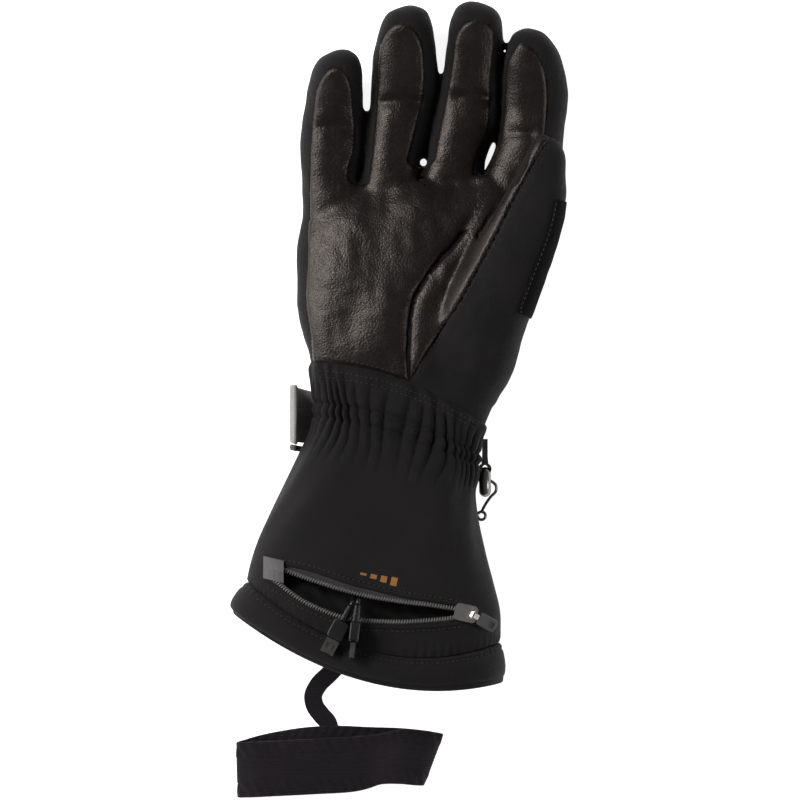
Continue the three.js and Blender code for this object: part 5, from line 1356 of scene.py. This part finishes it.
ruffle = 0.22 * np.sin(1.1 * loop_at[:, None] + 2.5 * np.sin(0.35 * band_across))
stand = band_side * LOOP_THICK / 2 + ruffle * (np.abs(band_across) > 6)
lean, tall = np.sin(loop_row[:, 3])[:, None], np.cos(loop_row[:, 3])[:, None]
loop_rings = np.stack([
    loop_x[:, None] + lean * band_across[None, :] + loop_way[:, 1:2] * stand,
    loop_y[:, None] + tall * band_across[None, :],
    np.maximum(RESTS_AT, loop_z[:, None] - loop_way[:, 0:1] * stand),
], axis=-1)
leash = piece_from("leash_loop_band", loop_rings, grid_faces(360, len(band_across), True, True))
dressed(leash, "elastic", "leash_loop")


# Stitches: twin topstitching below the palm's seam, the seams of the thumb, patch, pocket and hem,
# and the bar tack of the leash.
STITCH_LONG = 1.75
STITCH_STEP = 2.6
STITCH_RADIUS = 0.27
STITCH_FALL = 1.1  # a stitch that falls more than this is left out
TACK_FROM = (41.6, -54.6)
TACK_LONG = 13
TACK_HIGH = 3.2


def stitches(name, line, step=STITCH_STEP):
    """Separate stitches along a line of points: each is a short six-sided thread, sunk at its ends."""
    length = lengths_along(line)
    starts = np.arange(0.4, length[-1] - STITCH_LONG, step)
    at = starts[:, None] + STITCH_LONG * np.array([0, 0.16, 0.5, 0.84, 1])
    places = places_at(line, length, at)
    places = places[np.abs(places[:, -1, 2] - places[:, 0, 2]) < STITCH_FALL]
    way = unit(places[:, -1] - places[:, 0])[:, None, :]
    across = unit(np.cross(way, [0.0, 0.0, 1.0]))
    rise = np.cross(across, way)
    size = np.array([0.35, 0.9, 1.0, 0.9, 0.35])[:, None, None]
    sunk = np.array([-1.3, -0.1, 0.15, -0.1, -1.3])[:, None, None] * STITCH_RADIUS
    ring = circle(STITCH_RADIUS, 6)
    sides = ring[:, 0, None] * across[:, :, None, :] + ring[:, 1, None] * rise[:, :, None, :]
    points = places[:, :, None, :] + sides * size + rise[:, :, None, :] * sunk
    faces = grid_faces(5, 6, closed_columns=True)[:, ::-1]
    every = (faces[None, :, :] + (np.arange(len(places)) * 30)[:, None, None]).reshape(-1, 4)
    piece = piece_from(name, points, every)
    piece.data.materials.append(finishes["thread"])


def on_skin(line, target, stands=0.15):
    """A line in plan laid on the target from above."""
    line = dense(line, 0.8)
    return np.column_stack([line, laid_on(line, target) + stands])


diagonal = on_palm(THUMB_DIAGONAL)
stitches("thumb_seam_stitches", on_skin(smooth_path(diagonal, 90) + [1.7, 0.6], hand))
stitches("thumb_leather_stitches", on_skin(smooth_path(diagonal, 90) + [-1.6, -0.7], thumb_leather))
stitches("palm_seam_stitches", on_skin(palm_bottom[:22] + [0.2, 1.9], palm_leather))
thumb_tip_line = from_pixels([(535, 134), (531, 142), (529, 152), (528, 165), (525, 175)])
stitches("thumb_tip_stitches", on_skin(thumb_tip_line, hand, 0.3), step=2.2)
patch_border = thumb_point(
    np.concatenate([np.linspace(PATCH_FROM + 0.012, PATCH_TO - 0.012, 60), np.full(14, PATCH_TO - 0.012)]),
    np.concatenate([np.full(60, PATCH_HIGH - 0.1), np.linspace(PATCH_HIGH - 0.1, PATCH_LOW + 0.1, 14)]), 0,
)
stitches("patch_stitches", on_skin(patch_border[:, :2], patch))
stitches("pocket_top_stitches", on_cuff(zip_line("fabric_up", zip_share, 2.2), 0.2))
stitches("pocket_low_stitches", on_cuff(zip_line("fabric_down", zip_share, -2.2), 0.2))
for number, depth in enumerate((0.03, 0.055)):
    row = cuff_row(np.float64(depth))
    line = row_line(row, np.linspace(-0.9, 0.9, 80))
    stitches(f"wrist_twin_stitches_{number}", on_skin(line, gauntlet, 0.12))
hem_line = row_points(hem_row(np.float64(0.14)), np.linspace(0.12, np.pi - 0.12, 160))[:, :2]
stitches("hem_stitches", on_skin(hem_line, hem, 0.12))
tack = np.column_stack([np.linspace(0, TACK_LONG, 40), np.tile([0.0, TACK_HIGH], 20)])
tack_line = dense(tack + HEM_LEFT + TACK_FROM, 0.4)
bar_tack = np.column_stack([tack_line, laid_on(tack_line, ribbon)])
bar_tack[:, 2] = np.clip(bar_tack[:, 2], 1.0, 1.6)
tack_rings = swept(bar_tack, circle(0.28, 6))
bar = piece_from("leash_bar_tack", tack_rings, tube_faces(len(bar_tack), 6)[:1])
dressed(bar, "grey_strap")


# Plain heat-level bars in orange over the zip, in place of the printed words, which are left off.
# They lie on the sleeve along the zip's slant, each taller than the one before.
BAR_HALF = (1.6, 0.6)  # half the width and half the height of the first bar
BAR_GROWS = 0.5
BAR_STEP = 0.052
bar_x, bar_y = np.meshgrid(np.linspace(-1, 1, 5), np.linspace(-1, 1, 9))
zip_turned = np.array([[math.cos(ZIP_TURN), math.sin(ZIP_TURN)], [-math.sin(ZIP_TURN), math.cos(ZIP_TURN)]])
bars = []
for number in range(4):
    half = np.add(BAR_HALF, (0, BAR_GROWS * number))
    spots = np.column_stack([bar_x.ravel(), bar_y.ravel()]) * half
    bars.append(zip_line("fabric_up", 0.46 + BAR_STEP * number, 6.2) + spots @ zip_turned)
bar_places = np.concatenate(bars)
bar_faces = np.concatenate([grid_faces(9, 5) + 45 * number for number in range(4)])
bar_points = np.column_stack([bar_places, laid_on(bar_places, gauntlet) + 0.12])
heat_bars = piece_from("heat_level_bars", bar_points, bar_faces)
heat_bars.data.materials.append(finishes["print"])


# Hard parts keep their CAD solids, with eased edges and their own finishes.
HARD_PARTS = {
    "zip_slider": ("nickel", 0.35), "puller_link": ("nickel", 0.2), "puller_grip": ("rubber", 0.25),
    "zip_garage": ("rubber", 0.3), "relief_a": ("black_plastic", 0.25), "relief_b": ("black_plastic", 0.25),
    "plug_a": ("black_plastic", 0.35), "plug_b": ("black_plastic", 0.35), "plug_shell_a": ("gunmetal", 0.12),
    "plug_shell_b": ("gunmetal", 0.12),
    "webbing_loop": ("zip_tape", 0.3),
}
for node, (slot, ease) in HARD_PARTS.items():
    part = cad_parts[node]
    for material_slot in part.material_slots:
        material_slot.material = finishes[slot]
    eased = part.modifiers.new("eased", "BEVEL")
    eased.width = ease * MM
    eased.segments = 3
    eased.limit_method = "ANGLE"
    eased.angle_limit = math.radians(35)


# The oval wire ring on its webbing loop, and the wire hook that hangs from it.
HOOK_WIRE = 0.8
HOOK_ROUTE = [
    (39.6, -40.6, 14.8), (43.1, -39.8, 13.8), (46.2, -41, 13.3), (48.2, -43, 12.8), (48.2, -45.6, 12.3),
    (45.6, -48.6, 11.1), (43.1, -52.2, 9.3), (41, -56.2, 7),
]
EYE_RADIUS = 2
ring_low, ring_high = (np.array(corner) / MM - LAID_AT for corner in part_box("ring"))
ring_middle, ring_half = (ring_low + ring_high) / 2, (ring_high - ring_low) / 2
wire_radius = float(min(ring_half))
flat_axis = int(np.argmin(ring_half))
spin = np.arange(72) * 2 * np.pi / 72
ring_path = np.tile(ring_middle, (72, 1))
long_axes = [axis for axis in range(3) if axis != flat_axis]
ring_path[:, long_axes[0]] += (ring_half[long_axes[0]] - wire_radius) * np.cos(spin)
ring_path[:, long_axes[1]] += (ring_half[long_axes[1]] - wire_radius) * np.sin(spin)
around_ring = np.roll(ring_path, -1, axis=0) - np.roll(ring_path, 1, axis=0)
flat_way = np.eye(3)[flat_axis]
out_way = unit(np.cross(around_ring, flat_way))
section = circle(wire_radius, 14)
ring_wire = section[:, 0, None] * out_way[:, None, :] + section[:, 1, None] * flat_way
ring_rings = ring_path[:, None, :] + ring_wire
oval = piece_from("oval_ring", ring_rings, grid_faces(72, 14, True, True))
dressed(oval, "gunmetal", "ring")
hook_path = smooth_path(HOOK_ROUTE, 90)
hook_tube = swept(hook_path, circle(HOOK_WIRE, 12))
eye_middle = np.array(HOOK_ROUTE[-1]) - [0, EYE_RADIUS, 0]
eye_ring = np.stack([np.cos(spin), np.sin(spin), 0 * spin], axis=1)
eye_profile = circle(HOOK_WIRE, 12)
eye_points = eye_middle + eye_ring[:, None, :] * (EYE_RADIUS + eye_profile[None, :, 0, None])
eye_points = eye_points + eye_profile[None, :, 1, None] * [0, 0, 1]
hook_faces = [*tube_faces(90, 12), grid_faces(72, 12, True, True, start=90 * 12)]
hook_points = np.concatenate([hook_tube.reshape(-1, 3), eye_points.reshape(-1, 3)])
wire_hook = piece_from("wire_hook", hook_points, hook_faces)
dressed(wire_hook, "gunmetal", "hook")
